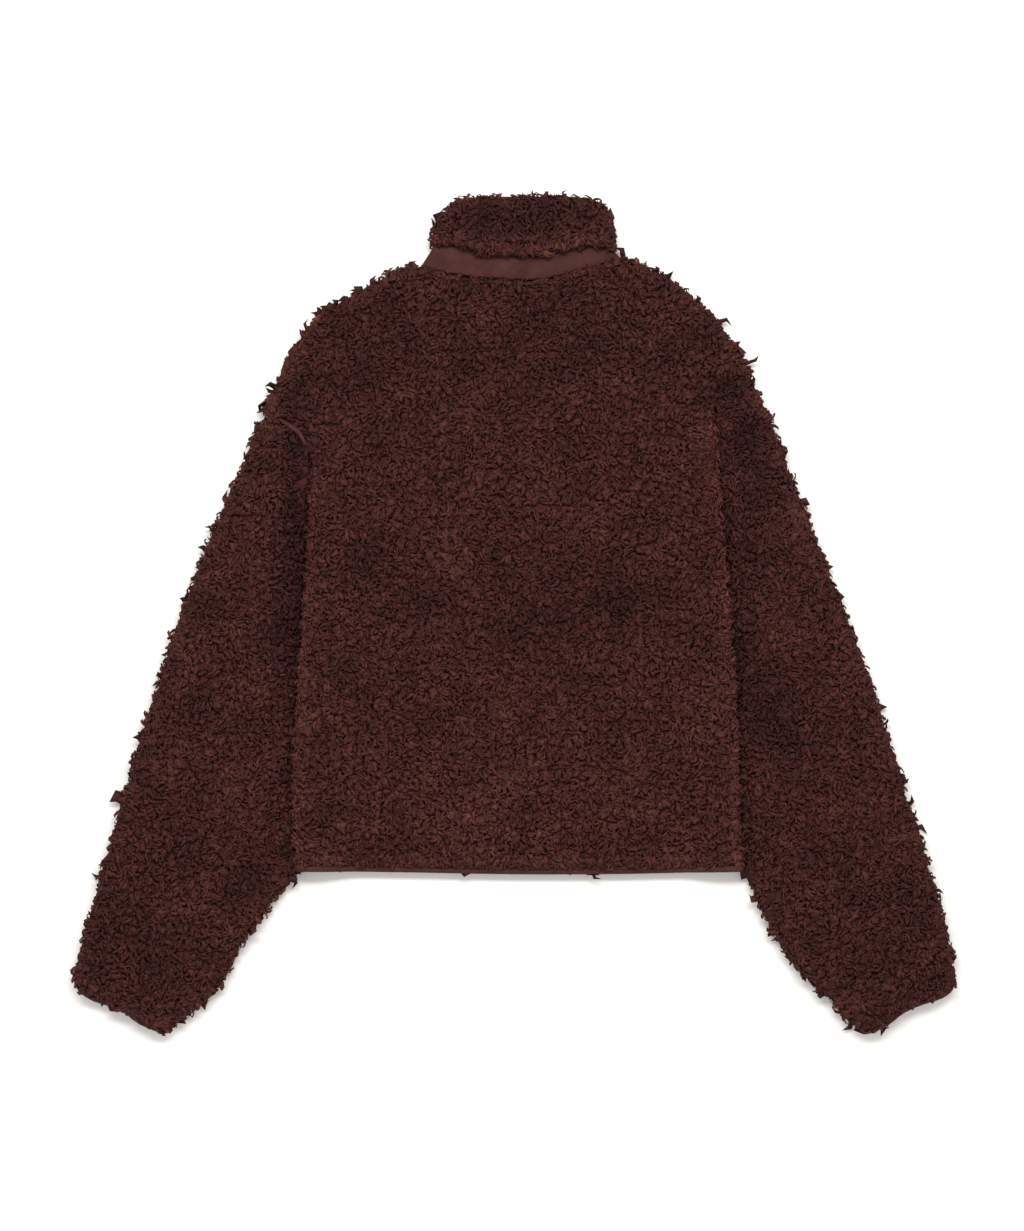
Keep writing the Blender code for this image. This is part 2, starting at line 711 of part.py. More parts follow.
def slit_columns(skipped):
    """Columns of a split ring without those nearest its two folds."""
    half = BACK_COLUMNS // 2
    folds_at = (half, half + BACK_COLUMNS)
    return [column for column in range(2 * BACK_COLUMNS + 1)
            if min(abs(column - place) for place in folds_at) >= skipped]


def ring_wall(name, grids, material):
    outer, inner, keep = grids
    columns = nearest_columns(outer.shape[1], keep)
    wall(name, outer, inner, columns, material)


def hem_strip():
    """The same kind of ring at the hem, raised at its sides with the body."""
    outer, inner = [], []
    ends = (HEM[0][0], HEM[-1][0])
    x, layer = split_ring(ends)
    half, depth = slit_height(x, ends), rounded(fold_gap(x, ends), 6.0)
    hem = crosswise(HEM)
    plan = np.column_stack([x, np.interp(x, hem[:, 0], hem[:, 1])])
    seam = body_seam(plan)
    for drop, share in ((SEAM_GAP, 1.0), (TRIM_WIDTH / 2, 1.0), (TRIM_WIDTH, 0.8)):
        reach = (SLIT / 2 + TRIM_WALL) * depth * share
        outer.append(np.column_stack([plan - (0, drop), seam + layer * reach]))
        inner.append(np.column_stack([plan - (0, drop), seam + layer * half]))
    keep = slit_columns(1)
    return np.array(outer), np.array(inner)[::2, keep], keep


# ---- zip


def box_grid(sections):
    """Closed solid through loops of points: one loop at each end, faces between."""
    loops = np.array(sections)
    rows, columns = loops.shape[:2]
    faces = grid_faces(rows, columns, 0, True)
    faces.append(list(range(columns)))
    faces.append(list(range((rows - 1) * columns, rows * columns)))
    return loops.reshape(-1, 3), faces


def extruded(name, profile, y_from, y_to, material):
    """A profile of x and z, run straight along y."""
    loops = []
    for y in (y_from, y_to):
        loops.append([(FRONT_X + x, y, z) for x, z in profile])
    points, faces = box_grid(loops)
    return mesh_object(name, points, faces, material)


def zip_profile():
    """Tape across the channel with the coil beneath its middle."""
    half, bottom, top = TAPE[0] / 2, TAPE[1], TAPE[2]
    coil, foot = COIL[0] / 2, COIL[1]
    return [
        (-half, top), (-half, bottom), (-coil, bottom), (-coil, foot + 0.8),
        (-coil + 0.8, foot), (coil - 0.8, foot), (coil, foot + 0.8), (coil, bottom),
        (half, bottom), (half, top),
    ]


def zip_ends():
    top = across(FRONT_LEVELS[3], FRONT_X) - ZIP_TOP_INSET
    return across(HEM, FRONT_X) - TRIM_WIDTH + 1.0, float(top)


def slider_profile():
    """Saddle round the coil: a plate beneath it with a wall on each side."""
    wide, coil = SLIDER_WIDTH / 2, COIL[0] / 2 + 0.35
    under, rise = COIL[1] - 0.35, TAPE[1] - 0.35
    foot = under - SLIDER_PLATE
    return [
        (-wide, rise), (-wide, foot + 0.5), (-wide + 0.5, foot), (wide - 0.5, foot),
        (wide, foot + 0.5), (wide, rise), (coil, rise), (coil, under),
        (-coil, under), (-coil, rise),
    ]


def clear_scene():
    for thing in list(bpy.data.objects):
        bpy.data.objects.remove(thing)


def make_material(name, colour, roughness, metallic):
    material = bpy.data.materials.new(name)
    material.use_nodes = True
    shader = material.node_tree.nodes["Principled BSDF"]
    shader.inputs["Base Color"].default_value = (*colour, 1.0)
    shader.inputs["Roughness"].default_value = roughness
    shader.inputs["Metallic"].default_value = metallic
    return material


def boxed(name, low, high, material):
    """A plain block between two corners, x measured from the centre front."""
    (x0, y0, z0), (x1, y1, z1) = low, high
    return extruded(name, [(x0, z0), (x1, z0), (x1, z1), (x0, z1)], y0, y1, material)


def bar(name, radius, half_length, centre_y, centre_z, material, sides=20):
    """A round bar along x."""
    turn = np.linspace(0, 2 * np.pi, sides, endpoint=False)
    y, z = centre_y + radius * np.cos(turn), centre_z + radius * np.sin(turn)
    loops = [np.column_stack([np.full(sides, FRONT_X + x), y, z])
             for x in (-half_length, half_length)]
    return mesh_object(name, *box_grid(loops), material)


def combine(base, other, operation):
    """Joins another solid to a base or cuts it away, and removes the other."""
    change = base.modifiers.new("combine", "BOOLEAN")
    change.operation, change.solver, change.object = operation, "EXACT", other
    bpy.context.view_layer.update()
    graph = bpy.context.evaluated_depsgraph_get()
    made = bpy.data.meshes.new_from_object(base.evaluated_get(graph))
    base.modifiers.clear()
    base.data = made
    bpy.data.objects.remove(other)


def make_slider(metal, y):
    """Saddle beneath the coil, with two lugs and the pin that the tab turns on."""
    slider = extruded("zip_slider", slider_profile(), y - SLIDER_LENGTH / 2,
                      y + SLIDER_LENGTH / 2, metal)
    foot = COIL[1] - 0.35 - SLIDER_PLATE + 0.4
    for side in (-1, 1):
        x0, x1 = sorted((side * LUG_X[0], side * LUG_X[1]))
        lug = boxed("lug", (x0, y - 2.2, PIN_HEIGHT - 0.9), (x1, y + 2.2, foot), metal)
        combine(slider, lug, "UNION")
    pin = bar("pin", PIN_RADIUS, LUG_X[1] - 0.2, y, PIN_HEIGHT, metal)
    combine(slider, pin, "UNION")


def make_pull(metal, y):
    """Flat tab with an eye round the pin, lying along the zip."""
    eye = LUG_X[0] - 0.35
    tab = bar("zip_pull", PIN_RADIUS + 1.0, eye, y, PIN_HEIGHT, metal)
    low, high = PIN_HEIGHT - PULL_THICK / 2, PIN_HEIGHT + PULL_THICK / 2
    neck = boxed("neck", (-eye + 0.1, y - 5.0, low), (eye - 0.1, y - 0.9, high), metal)
    combine(tab, neck, "UNION")
    wide, end = PULL_WIDTH / 2, y - PULL_LENGTH
    plate = boxed("plate", (-wide, end, low + 0.05), (wide, y - 4.6, high - 0.05), metal)
    combine(tab, plate, "UNION")
    hole = bar("hole", PIN_RADIUS + 0.3, eye + 1.0, y, PIN_HEIGHT, metal)
    combine(tab, hole, "DIFFERENCE")
    pin = Vector((FRONT_X, y, PIN_HEIGHT)) * MM
    tab.data.transform(Matrix.Translation(-pin))
    tab.location = pin


def main():
    clear_scene()
    pile = make_material("fleece", (0.045, 0.014, 0.012), 0.95, 0.0)
    trim = make_material("smooth_trim", (0.088, 0.033, 0.029), 0.9, 0.0)
    tape = make_material("zip_tape", (0.05, 0.018, 0.016), 0.85, 0.0)
    metal = make_material("zip_metal", (0.06, 0.035, 0.032), 0.4, 0.85)
    back_wall(pile)
    for side in ("left", "right"):
        front_wall(side, pile)
        sleeve_wall(side, pile)
        cuff_wall(side, trim)
    collar = neck_strip(np.linspace(1.0, 3.0, 9), None, 12.0, 2)
    ring_wall("collar", collar, pile)
    ring_wall("neck_band", neck_strip(np.linspace(*BAND_ENDS, 3), BAND_WALL, 6.0, 2), trim)
    ring_wall("hem_binding", hem_strip(), trim)
    low, high = zip_ends()
    extruded("zip", zip_profile(), low, high, tape)
    make_slider(metal, high - SLIDER_DROP)
    make_pull(metal, high - SLIDER_DROP)


main()
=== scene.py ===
"""Pile fleece jacket laid flat with its back up: ground cloth, pile, trims, zip, stage.

Every surface is a grid computed from plan tables in millimetres (x to the right, y to
the collar, z up) and a few height fields, and is brought to metres when it is built.
"""

import bmesh
import bpy
import numpy as np
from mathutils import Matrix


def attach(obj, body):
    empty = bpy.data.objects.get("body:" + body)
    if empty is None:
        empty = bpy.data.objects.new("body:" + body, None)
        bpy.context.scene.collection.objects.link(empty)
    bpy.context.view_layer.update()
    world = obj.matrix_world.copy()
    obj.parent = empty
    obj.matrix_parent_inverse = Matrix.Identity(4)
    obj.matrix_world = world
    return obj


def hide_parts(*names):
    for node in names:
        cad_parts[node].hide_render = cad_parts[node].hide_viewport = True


bl_info = {
    "name": "Pile fleece jacket",
    "version": (1, 0, 0),
    "blender": (4, 5, 0),
    "location": "3D View > Sidebar > Jacket",
    "description": "Builds the cloth, pile, trims, zip and stage of a flat laid jacket",
    "category": "Add Mesh",
}

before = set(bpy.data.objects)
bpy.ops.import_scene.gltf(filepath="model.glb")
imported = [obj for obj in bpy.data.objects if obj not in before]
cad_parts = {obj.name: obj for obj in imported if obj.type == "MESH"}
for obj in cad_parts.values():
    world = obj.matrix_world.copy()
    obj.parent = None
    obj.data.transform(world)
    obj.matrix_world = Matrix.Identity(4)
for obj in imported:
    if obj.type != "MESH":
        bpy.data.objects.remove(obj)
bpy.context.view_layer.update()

MM = 0.001
GOLDEN = 0.6180339887

# ---- sizes of the solids that the pieces follow, in millimetres

BODY_HEIGHT = 27.0  # middle of the body
SIDE_HEIGHT = 33.0  # body's side edges where they lie on the sleeves
SLEEVE_HEIGHT = 31.0
SIDE_LIFT = 15.6  # underside of the body's side edges above the ground
TUCKED_HEIGHT = 14.4  # a sleeve's height where it lies beneath the body
ARMHOLE_RISE = 8.0  # how much higher it is at the lower end of the armhole
MIDDLE = 0.44  # share of the height where two layers meet
SLIT = 2.4
SEAM_GAP = 0.36
SLEEVE_RUN = 610.0
PARTING_START, PARTING_RUN = 0.012, 0.07  # shares of the neck's width from a fold
BODY_ROUND = 15.0
SLEEVE_ROUND = 17.0
SLEEVE_LIP_ROUND = 9.0
COLLAR_ROUND = 12.0
TRIM_ROUND = 6.0
UNDER_ROUND = 9.0
FRONT_EDGE_ROUND = 7.0
ARMHOLE_TURN = 16.0  # the outline's rounding grows over this beside the armhole
ARMHOLE_RUN = 40.0  # the body's height changes over this beside the armhole
LIFT_FLAT = 18.0  # the side edge stays lifted over this
LIFT_RUN = 46.0  # and then falls over this
SIDE_START = 58.0  # it rises over this below the armhole
RISE_RUN = 45.0  # along the armhole
BESIDE_START = 2.0  # from the side edge out, where a sleeve starts to rise
BESIDE_RUN = {"left": 58.0, "right": 50.0}  # and the way it takes to its full height
INWARD = {"left": 1.0, "right": -1.0}  # way along x from a side edge into the body
HEM_LEVEL = -252.0
END_ROUND = 8.0  # at the open ends
COLLAR_LEVEL_RUN = 26.0  # from one level of the neck tables to the next
COLLAR_LIP = 3.0
TRIM_WALL = 5.0
TRIM_WIDTH = 4.6
BAND_WALL = 4.4
BAND_ENDS = (0.03, 0.97)
BEAD = (-0.55, 0.8)  # a binding's rounded edge, as shares of its round's radius
FRONT_X = 7.0  # middle of the zip
CHANNEL = 16.0  # between both front edges
ZIP_ENDS = (-257.0, 353.0)
TAPE_WIDTH, TAPE_BOTTOM, TAPE_THICK = 14.6, 6.9, 1.4
TAPE_ROWS = 80
TOOTH_PITCH, TOOTH_MARGIN, TOOTH_TOP = 2.0, 3.0, 6.95
# Stations of a tooth across the zip, columns: x, half width, underside
TOOTH = ((-0.9, 0.45, 5.1), (0.0, 0.62, 4.7), (1.6, 0.5, 4.75), (2.3, 0.42, 5.2))
WELT_RADIUS, WELT_ROWS = 2.5, 24
WELT_ENDS = (0.3, 0.93)  # as shares of the armhole's seam
SIDE_FADE = 1.15  # power by which the outline's bends fade towards the body's middle

# Outline of the back, columns: x, y
SHOULDER_LEFT = (
    (-92, 349), (-108, 352), (-126, 341), (-158, 321), (-195, 300), (-210, 281),
    (-223, 260), (-233, 240), (-243, 220), (-249, 204),
)
ARMHOLE_LEFT = ((-249, 204), (-239, 198.5), (-225, 190), (-213, 181), (-205, 165))
SIDE_LEFT = (
    (-205, 165), (-204, 115), (-207, 60), (-210, 10), (-216, -85), (-220, -185),
    (-217, -250),
)
SHOULDER_RIGHT = (
    (110, 356), (124, 355), (154, 341), (181, 321), (203, 300), (217, 281),
    (231, 260), (238.5, 245),
)
ARMHOLE_RIGHT = ((238.5, 245), (230, 238.5), (221, 231), (211, 222.5), (203, 212))
SIDE_RIGHT = (
    (203, 212), (205, 163), (208, 115), (213, 60), (217, 10), (223, -85), (227, -185),
    (229, -250),
)
NECK_BACK = (
    (-92, 349), (-73, 343), (-49, 339), (-33, 337), (5, 335), (27, 335),
    (46, 339), (70, 346), (94, 351), (110, 356),
)
HEM = ((-217, -250), (-110, -251.5), (7, -253.5), (120, -253), (229, -250))

# Sleeves, columns: x, y
OUTER_LEFT = (
    (-249, 204), (-261, 180), (-278, 140), (-298, 98), (-313, 60), (-329, 20),
    (-343, -20), (-356, -60), (-368, -100), (-380, -140), (-391, -180), (-403, -220),
    (-415, -260), (-424, -300), (-436, -338), (-441, -362),
)
UNDER_LEFT = ((-205, 165), (-204.5, 128), (-199, 95), (-200, 40), (-203, -25))
INNER_LEFT = (
    (-203, -25), (-206, -85), (-209, -150), (-208, -205), (-206, -240), (-216, -262),
    (-233, -281), (-249, -302), (-264, -322), (-279, -348), (-297, -378), (-322, -401),
    (-349, -419.5),
)
CUFF_LEFT = (
    (-441, -362), (-434, -376), (-420, -386), (-393, -395), (-374, -409), (-349, -419.5),
)
OUTER_RIGHT = (
    (238.5, 245), (244, 230), (253, 208), (268, 180), (280, 140), (297, 98), (312, 60),
    (327, 20), (343, -20), (358, -60), (371, -100), (384, -140), (396, -180), (409, -220),
    (421, -260), (431, -300), (439, -335), (441, -362),
)
UNDER_RIGHT = (
    (203, 212), (205.4, 173), (201.5, 138), (203.5, 95), (208, 40), (210, -25),
)
INNER_RIGHT = (
    (210, -25), (213, -85), (216, -150), (218, -205), (220, -240), (231, -264),
    (243, -290), (258, -318), (272, -342), (292, -368), (314, -384), (330, -404),
    (355, -419.5),
)
CUFF_RIGHT = (
    (441, -362), (440, -374), (430, -383), (409, -390), (391, -398), (374, -411),
    (355, -419.5),
)

# Neck, columns: x, y. Four levels from the neck seam to the collar's top edge.
BACK_LEVELS = (
    NECK_BACK,
    ((-80, 368), (-73, 371), (-46, 368), (-25, 361), (22, 359), (38, 363),
     (70, 369), (94, 366), (102, 363)),
    ((-82, 386), (-60, 390), (-20, 388), (10, 387), (50, 389), (84, 390), (104, 385)),
    ((-67, 409), (-52, 415.5), (-28, 419.2), (10, 419.2), (60, 419.2), (80, 415.5),
     (95, 408)),
)
FRONT_LEVELS = (
    ((-92, 349), (-80, 316), (-58, 294), (-30, 281), (7, 277), (44, 281), (74, 296),
     (98, 322), (110, 356)),
    ((-80, 368), (-66, 340), (-45, 318), (-22, 306), (7, 302), (38, 306), (64, 320),
     (88, 342), (102, 363)),
    ((-82, 386), (-66, 362), (-45, 343), (-22, 333), (7, 330), (38, 333), (64, 345),
     (90, 364), (104, 385)),
    ((-67, 409), (-54, 386), (-38, 369), (-18, 360), (7, 357), (34, 360), (58, 371),
     (80, 389), (95, 408)),
)

# Largest folds, columns: x, y, half length, half width, direction in degrees, height
FOLDS = (
    (-85, 22, 105, 30, -14, -4.6),
    (98, 2, 85, 28, 20, -4.2),
    (-4, 46, 34, 9, -56, -2.8),
    (12, 163, 125, 18, 13, 2.2),
    (-168, 250, 48, 22, 38, -2.4),
    (27, 232, 55, 24, 90, -2.6),
    (160, 282, 42, 20, -38, -2.0),
    (-180, 170, 62, 14, 88, 2.4),
    (192, 60, 180, 14, 90, 2.2),
    (-43, -200, 70, 30, 4, 3.0),
    (-190, -222, 30, 20, 10, 1.6),
    (20, -110, 110, 40, 8, 2.0),
    (-328, -222, 38, 18, 62, -4.0),
    (-276, -243, 48, 14, 12, -3.6),
    (-326, -294, 26, 20, 30, 3.6),
    (-262, -206, 26, 14, 12, 2.6),
    (-300, 30, 110, 22, 66, 2.4),
    (-374, -330, 34, 16, 60, -2.6),
    (267, -125, 68, 20, -68, -5.0),
    (298, -232, 32, 18, -30, -4.0),
    (404, -292, 30, 12, -76, -3.0),
    (300, 40, 110, 22, -66, 2.4),
    (348, -190, 70, 22, -66, 2.6),
    (350, -330, 40, 16, -52, 2.4),
)

# Painted shade, darker and more purple, in the troughs of folds, under the armhole's welt
# and beside the body's side edges, and darker, more purple places at the collar, the neck
# and a cuff; columns: x, y, half length, half width, direction in degrees, strength
SHADE_AND_DARK_PATCHES = (
    (-219, 75, 120, 15, 86, 0.85),
    (232, 60, 150, 15, -88, 0.35),
    (-213, 160, 34, 13, -76, 1.2),
    (-231, 15, 48, 20, 88, 0.45),
    (238, 165, 56, 22, -72, 0.75),
    (218, 214, 24, 10, -60, 0.5),
    (262, -108, 52, 30, -62, 0.75),
    (297, -236, 26, 18, -50, 0.45),
    (-328, -212, 34, 17, 80, 0.4),
    (0, 394, 46, 15, 0, 0.85),
    (-64, 396, 24, 18, 0, 0.35),
    (72, 400, 18, 14, 0, 0.4),
    (110, 334, 20, 15, 0, 0.4),
    (-425, -352, 34, 24, 20, 0.35),
    (-160, 255, 40, 24, 40, 0.25),
)

# Lighter and darker places in the pile: painted light on ridges and painted shade in creases,
# troughs and by the armhole's welt, besides the pile's own lighter and darker places and a
# change from darker at the shoulders to lighter at the hem; columns: x, y, half length,
# half width, direction in degrees, change in tone
LIGHT_SHADE_AND_TONE = (
    (0, 290, 230, 80, 0, -0.5),
    (0, -190, 230, 60, 0, 0.65),
    (60, 10, 90, 40, 10, -0.5),
    (-380, -320, 90, 60, 60, -0.5),
    (380, -320, 90, 60, -60, -0.5),
    (-4, 35, 44, 10, -58, -1.2),
    (52, -8, 52, 18, 4, -1.1),
    (102, 28, 40, 20, 62, -0.9),
    (-133, 66, 24, 17, 20, -1.0),
    (-104, 16, 40, 20, 0, -0.6),
    (-153, 252, 38, 28, 40, -0.8),
    (47, 272, 46, 36, 0, -0.6),
    (187, 285, 34, 24, -50, -0.8),
    (-52, 94, 50, 8, -24, 0.7),
    (-33, -40, 14, 40, 0, 0.7),
    (187, -85, 24, 40, 0, 0.7),
    (-50, -200, 40, 24, 0, 0.6),
    (-323, -296, 18, 14, 0, 1.6),
    (-253, -150, 34, 20, 60, 0.8),
    (-268, -262, 30, 14, 50, -0.9),
    (-272, 60, 60, 22, 70, 0.4),
    (-213, 168, 24, 8, -70, -1.3),
    (262, -108, 52, 30, -62, -0.7),
    (232, 202, 24, 6, 35, 1.0),
    (218, 223, 22, 9, 35, -1.1),
    (238, 165, 60, 22, -72, -0.5),
    (-192, 195, 40, 7, 90, 0.8),
    (-216, 220, 26, 14, 60, -0.7),
    (0, 395, 60, 11, 0, -1.1),
)

# Where the ground cloth comes near the surface, under the arms, so that no gap shows,
# columns: x, y, half length, half width, direction in degrees, share of depth left out
TUCKS = ((204, 178, 40, 16, -89, 0.7), (-205, 140, 34, 14, 90, 0.7))
DEEPEST_TUCK, BY_TUCK = 0.75, 0.25  # largest share left out, and the least that counts
LIP_DEPTH, NEXT_TO_LIP = 0.8, 0.8  # pile's depth at a lip in mm, and as a share one row in

NEAR_EDGE = (0.0, 0.06, 0.12, 0.2, 0.28, 0.39, 0.5, 0.63, 0.76, 0.88, 1.0)
TO_UNDERARM = (
    0.08, 0.16, 0.24, 0.33, 0.42, 0.51, 0.6, 0.68, 0.76, 0.83, 0.89, 0.935, 0.97, 1.0,
)
SHOULDER_ROWS, SIDE_ROWS, BACK_COLUMNS, SLEEVE_RINGS = 22, 44, 56, 62
COLLAR_ROWS, BAND_ROWS, TRIM_ROWS = 22, 15, 7
SIDE_POWER = 1.1  # power that draws the rows of the side towards the armhole
CURVE_STEPS, TABLE_STEPS = 12, 160
EDGE_SHARES = np.linspace(0, 1, 40)
FAN_START, FAN_RUN = 0.1, 0.2  # share of the body's length where the front's fan ends


# ---- stage, in metres

FLOOR_REACH, FLOOR_LEVEL = 6.0, -0.0002
LAMP_SIZE, LAMP_PLACE, LAMP_TILT = (1.8, 0.5), (0.0, 1.0, 2.45), np.radians(-22)
SENSOR = 36.0  # mm
VIEW_HEIGHT = 1.231  # from the top of the picture to its bottom
VIEW_MIDDLE = (-0.001, -0.0005)
PILE_MIDDLE = 0.016


# ---- plan lines and height fields


def smooth(value):
    """A rise from 0 to 1 that starts and ends level: 3 v^2 - 2 v^3."""
    value = np.clip(value, 0.0, 1.0)
    return value * value * (3.0 - 2.0 * value)


def rounded(distance, radius):
    """Height of a quarter round, from 0 at the edge to 1 a radius inside it."""
    inside = 1.0 - np.clip(distance / radius, 0.0, 1.0)
    return np.sqrt(np.clip(1.0 - inside * inside, 0.0, 1.0))


def line(table, shares):
    """Points at shares of the length of a smooth line through a table of points: a cubic
    between each two, which leaves a point parallel to the way between its neighbours."""
    knots = np.array(table, float)
    padded = np.vstack([2 * knots[0] - knots[1], knots, 2 * knots[-1] - knots[-2]])
    step = np.linspace(0, 1, CURVE_STEPS, endpoint=False)[:, None]
    runs = []
    for k in range(len(knots) - 1):
        a, b, c, d = padded[k : k + 4]
        bend = step * step * (2 * a - 5 * b + 4 * c - d)
        twist = step**3 * (3 * b - a - 3 * c + d)
        runs.append(b + 0.5 * (step * (c - a) + bend + twist))
    dense = np.vstack(runs + [knots[-1:]])
    along = np.concatenate([[0], np.cumsum(np.linalg.norm(np.diff(dense, axis=0), axis=1))])
    at = np.asarray(shares) * along[-1]
    return np.stack([np.interp(at, along, dense[:, k]) for k in (0, 1)], axis=-1)


def joined(*lines):
    """Lines that follow each other, without the points they share."""
    return np.vstack([lines[0]] + [part[1:] for part in lines[1:]])


def across(table, x):
    """The y of a table's line at given x."""
    dense = line(table, np.linspace(0, 1, TABLE_STEPS))
    return np.interp(x, dense[:, 0], dense[:, 1])


def unit(vectors):
    """Vectors brought to a length of 1."""
    return vectors / np.maximum(np.linalg.norm(vectors, axis=-1, keepdims=True), 1e-9)


def wrapped(grid, closed):
    """A grid whose first column comes again at the end where its rows are loops."""
    return np.hstack([grid, grid[:, :1]]) if closed else grid


def distance_to(points, way):
    """Distance in plan from each point to a line of points."""
    start, run = way[:-1], np.diff(way, axis=0)
    offset = points[..., None, :] - start
    share = np.clip((offset * run).sum(-1) / (run * run).sum(-1), 0.0, 1.0)
    return np.linalg.norm(offset - share[..., None] * run, axis=-1).min(-1)


def patch(top, bottom, left, right, runs, weights):
    """Grid of plan points between four lines: rows run from left to right."""
    v = runs[:, None, None]
    grid = top[None] + v * (bottom - top)[None]
    for side, corner, weight in ((left, 0, weights[0]), (right, -1, weights[1])):
        straight = top[corner] + runs[:, None] * (bottom[corner] - top[corner])
        grid = grid + weight[None, :, None] * (side - straight)[:, None]
    return grid


def share_of(one, other):
    """Mean share of the length at each point of two lines."""
    shares = []
    for way in (one, other):
        along = np.cumsum(np.linalg.norm(np.diff(way, axis=0), axis=1))
        shares.append(np.concatenate([[0], along]) / along[-1])
    return np.mean(shares, axis=0)


SIDE_TABLES = {
    "left": (SHOULDER_LEFT, ARMHOLE_LEFT, SIDE_LEFT),
    "right": (SHOULDER_RIGHT, ARMHOLE_RIGHT, SIDE_RIGHT),
}


def outline(side):
    """Points of the body's outline from the neck, down the armhole, to the hem."""
    shoulder, armhole, seam = SIDE_TABLES[side]
    return joined(
        line(shoulder, np.linspace(0, 1, SHOULDER_ROWS + 1)),
        line(armhole, NEAR_EDGE),
        line(seam, np.linspace(0, 1, SIDE_ROWS + 1) ** SIDE_POWER),
    )


def dense_edges():
    """Outline lines that the height fields measure from."""
    edges = {}
    for side, tables in SIDE_TABLES.items():
        lines = [line(table, EDGE_SHARES) for table in tables]
        edges[side, "armhole"], edges[side, "seam"] = lines[1:]
        edges[side, "all"] = joined(*lines)
    return edges


EDGES = dense_edges()


def bells(points, table):
    """Sum of long soft bells, each with its own direction and height."""
    height = np.zeros(points.shape[:-1])
    for x, y, length, width, turn, rise in table:
        angle = np.radians(turn)
        offset = points - (x, y)
        along = offset[..., 0] * np.cos(angle) + offset[..., 1] * np.sin(angle)
        beside = offset[..., 1] * np.cos(angle) - offset[..., 0] * np.sin(angle)
        height += rise * np.exp(-((along / length) ** 2) - (beside / width) ** 2)
    return height


def seam_x(points, side):
    """The x of the body's side edge at each point's y."""
    seam = EDGES[side, "seam"]
    return np.interp(-points[..., 1], -seam[:, 1], seam[:, 0])


def raised(points, side):
    """1 on the side edge that lies on a sleeve, falling to 0 inside the body."""
    gap = distance_to(points, EDGES[side, "seam"])
    corner = EDGES[side, "seam"][0, 1]
    started = smooth((corner - points[..., 1]) / SIDE_START)
    return smooth((LIFT_FLAT + LIFT_RUN - gap) / LIFT_RUN) * started


def floor(points):
    """Underside of the body above the ground."""
    return SIDE_LIFT * np.maximum(raised(points, "left"), raised(points, "right"))


def sleeve_crest(points, side, creased=True):
    """Top of a sleeve: low beside and beneath the body, full further out."""
    seam = EDGES[side, "seam"]
    inside = (points[..., 0] - seam_x(points, side)) * INWARD[side] > 0
    share = smooth((distance_to(points, seam) - BESIDE_START) / BESIDE_RUN[side])
    share = np.where(inside & (points[..., 1] > HEM_LEVEL), 0.0, share)
    full = SLEEVE_HEIGHT + (bells(points, FOLDS) if creased else 0.0)
    low = TUCKED_HEIGHT + ARMHOLE_RISE * smooth((points[..., 1] - seam[0, 1]) / RISE_RUN + 1.0)
    return low + (full - low) * share


def crest(points, creased=True):
    """Top of the body, which meets each sleeve's height along the armhole."""
    lift = np.maximum(raised(points, "left"), raised(points, "right"))
    top = BODY_HEIGHT + (SIDE_HEIGHT - BODY_HEIGHT) * lift
    if creased:
        top = top + bells(points, FOLDS)
    for side in ("left", "right"):
        share = smooth(distance_to(points, EDGES[side, "armhole"]) / ARMHOLE_RUN)
        top = sleeve_crest(points, side, creased) * (1 - share) + top * share
    return top


def body_seam(points):
    """Height of the slit between the body's two layers."""
    low = floor(points)
    return low + MIDDLE * (crest(points, creased=False) - low)


def end_share(distance):
    """Thickness of the pile near an open end, as a share of the full one."""
    return 0.72 + 0.28 * rounded(distance, END_ROUND)


def side_round(points, sides, radius):
    """Quarter round towards the outline, left out along the armholes."""
    share = np.ones(points.shape[:-1])
    for side in sides:
        turn = smooth(distance_to(points, EDGES[side, "armhole"]) / ARMHOLE_TURN)
        gap = distance_to(points, EDGES[side, "all"])
        share = np.minimum(share, 1 - turn * (1 - rounded(gap, radius)))
    return share


# ---- surface grids of the pieces


def spaced(count, edge=0.75):
    """Shares from 0 to 1, closer together at both ends."""
    even = np.linspace(0, 1, count)
    return (1 - edge) * even + edge * (0.5 - 0.5 * np.cos(np.pi * even))


def crosswise(table):
    """Points of a line across the body, spaced along x."""
    x = table[0][0] + (table[-1][0] - table[0][0]) * spaced(BACK_COLUMNS + 1)
    return np.column_stack([x, across(table, x)])


def to_channel(x, side):
    """The half of a row's x from its end to the middle, moved to the front edge."""
    half = x.shape[-1] // 2
    toward = smooth(np.linspace(-1, 1, half + 1))
    if side == "left":
        near = x[..., : half + 1]
        return near + (FRONT_X - CHANNEL / 2 - near[..., -1:]) * toward
    near = x[..., half:]
    return near + (FRONT_X + CHANNEL / 2 - near[..., :1]) * toward[::-1]


def body_plan():
    """Plan grid of the body: rows from the neck to the hem, columns from side to side."""
    rims = [outline(side) for side in ("left", "right")]
    toward = np.linspace(-1, 1, BACK_COLUMNS + 1)
    weights = [np.clip(sign * toward, 0, 1) ** SIDE_FADE for sign in (-1, 1)]
    return patch(crosswise(NECK_BACK), crosswise(HEM), *rims, share_of(*rims), weights)


def front_plan(side):
    """Plan grid of a front: fanned from its own neckline, then as the back's half."""
    plan = body_plan()
    half = plan.shape[1] // 2
    grid = (plan[:, : half + 1] if side == "left" else plan[:, half:]).copy()
    grid[..., 0] = to_channel(plan[..., 0], side)
    neck = np.column_stack([grid[0, :, 0], front_y(0.0, grid[0, :, 0])])
    shares = share_of(outline("left"), outline("right"))
    weight = np.linspace(1, 0, half + 1) ** SIDE_FADE
    weights = (weight, 0 * weight) if side == "left" else (0 * weight, weight[::-1])
    fan = patch(neck, grid[-1], grid[:, 0], grid[:, -1], shares, weights)
    share = smooth((shares - FAN_START) / FAN_RUN)[:, None, None]
    return grid * share + fan * (1 - share)


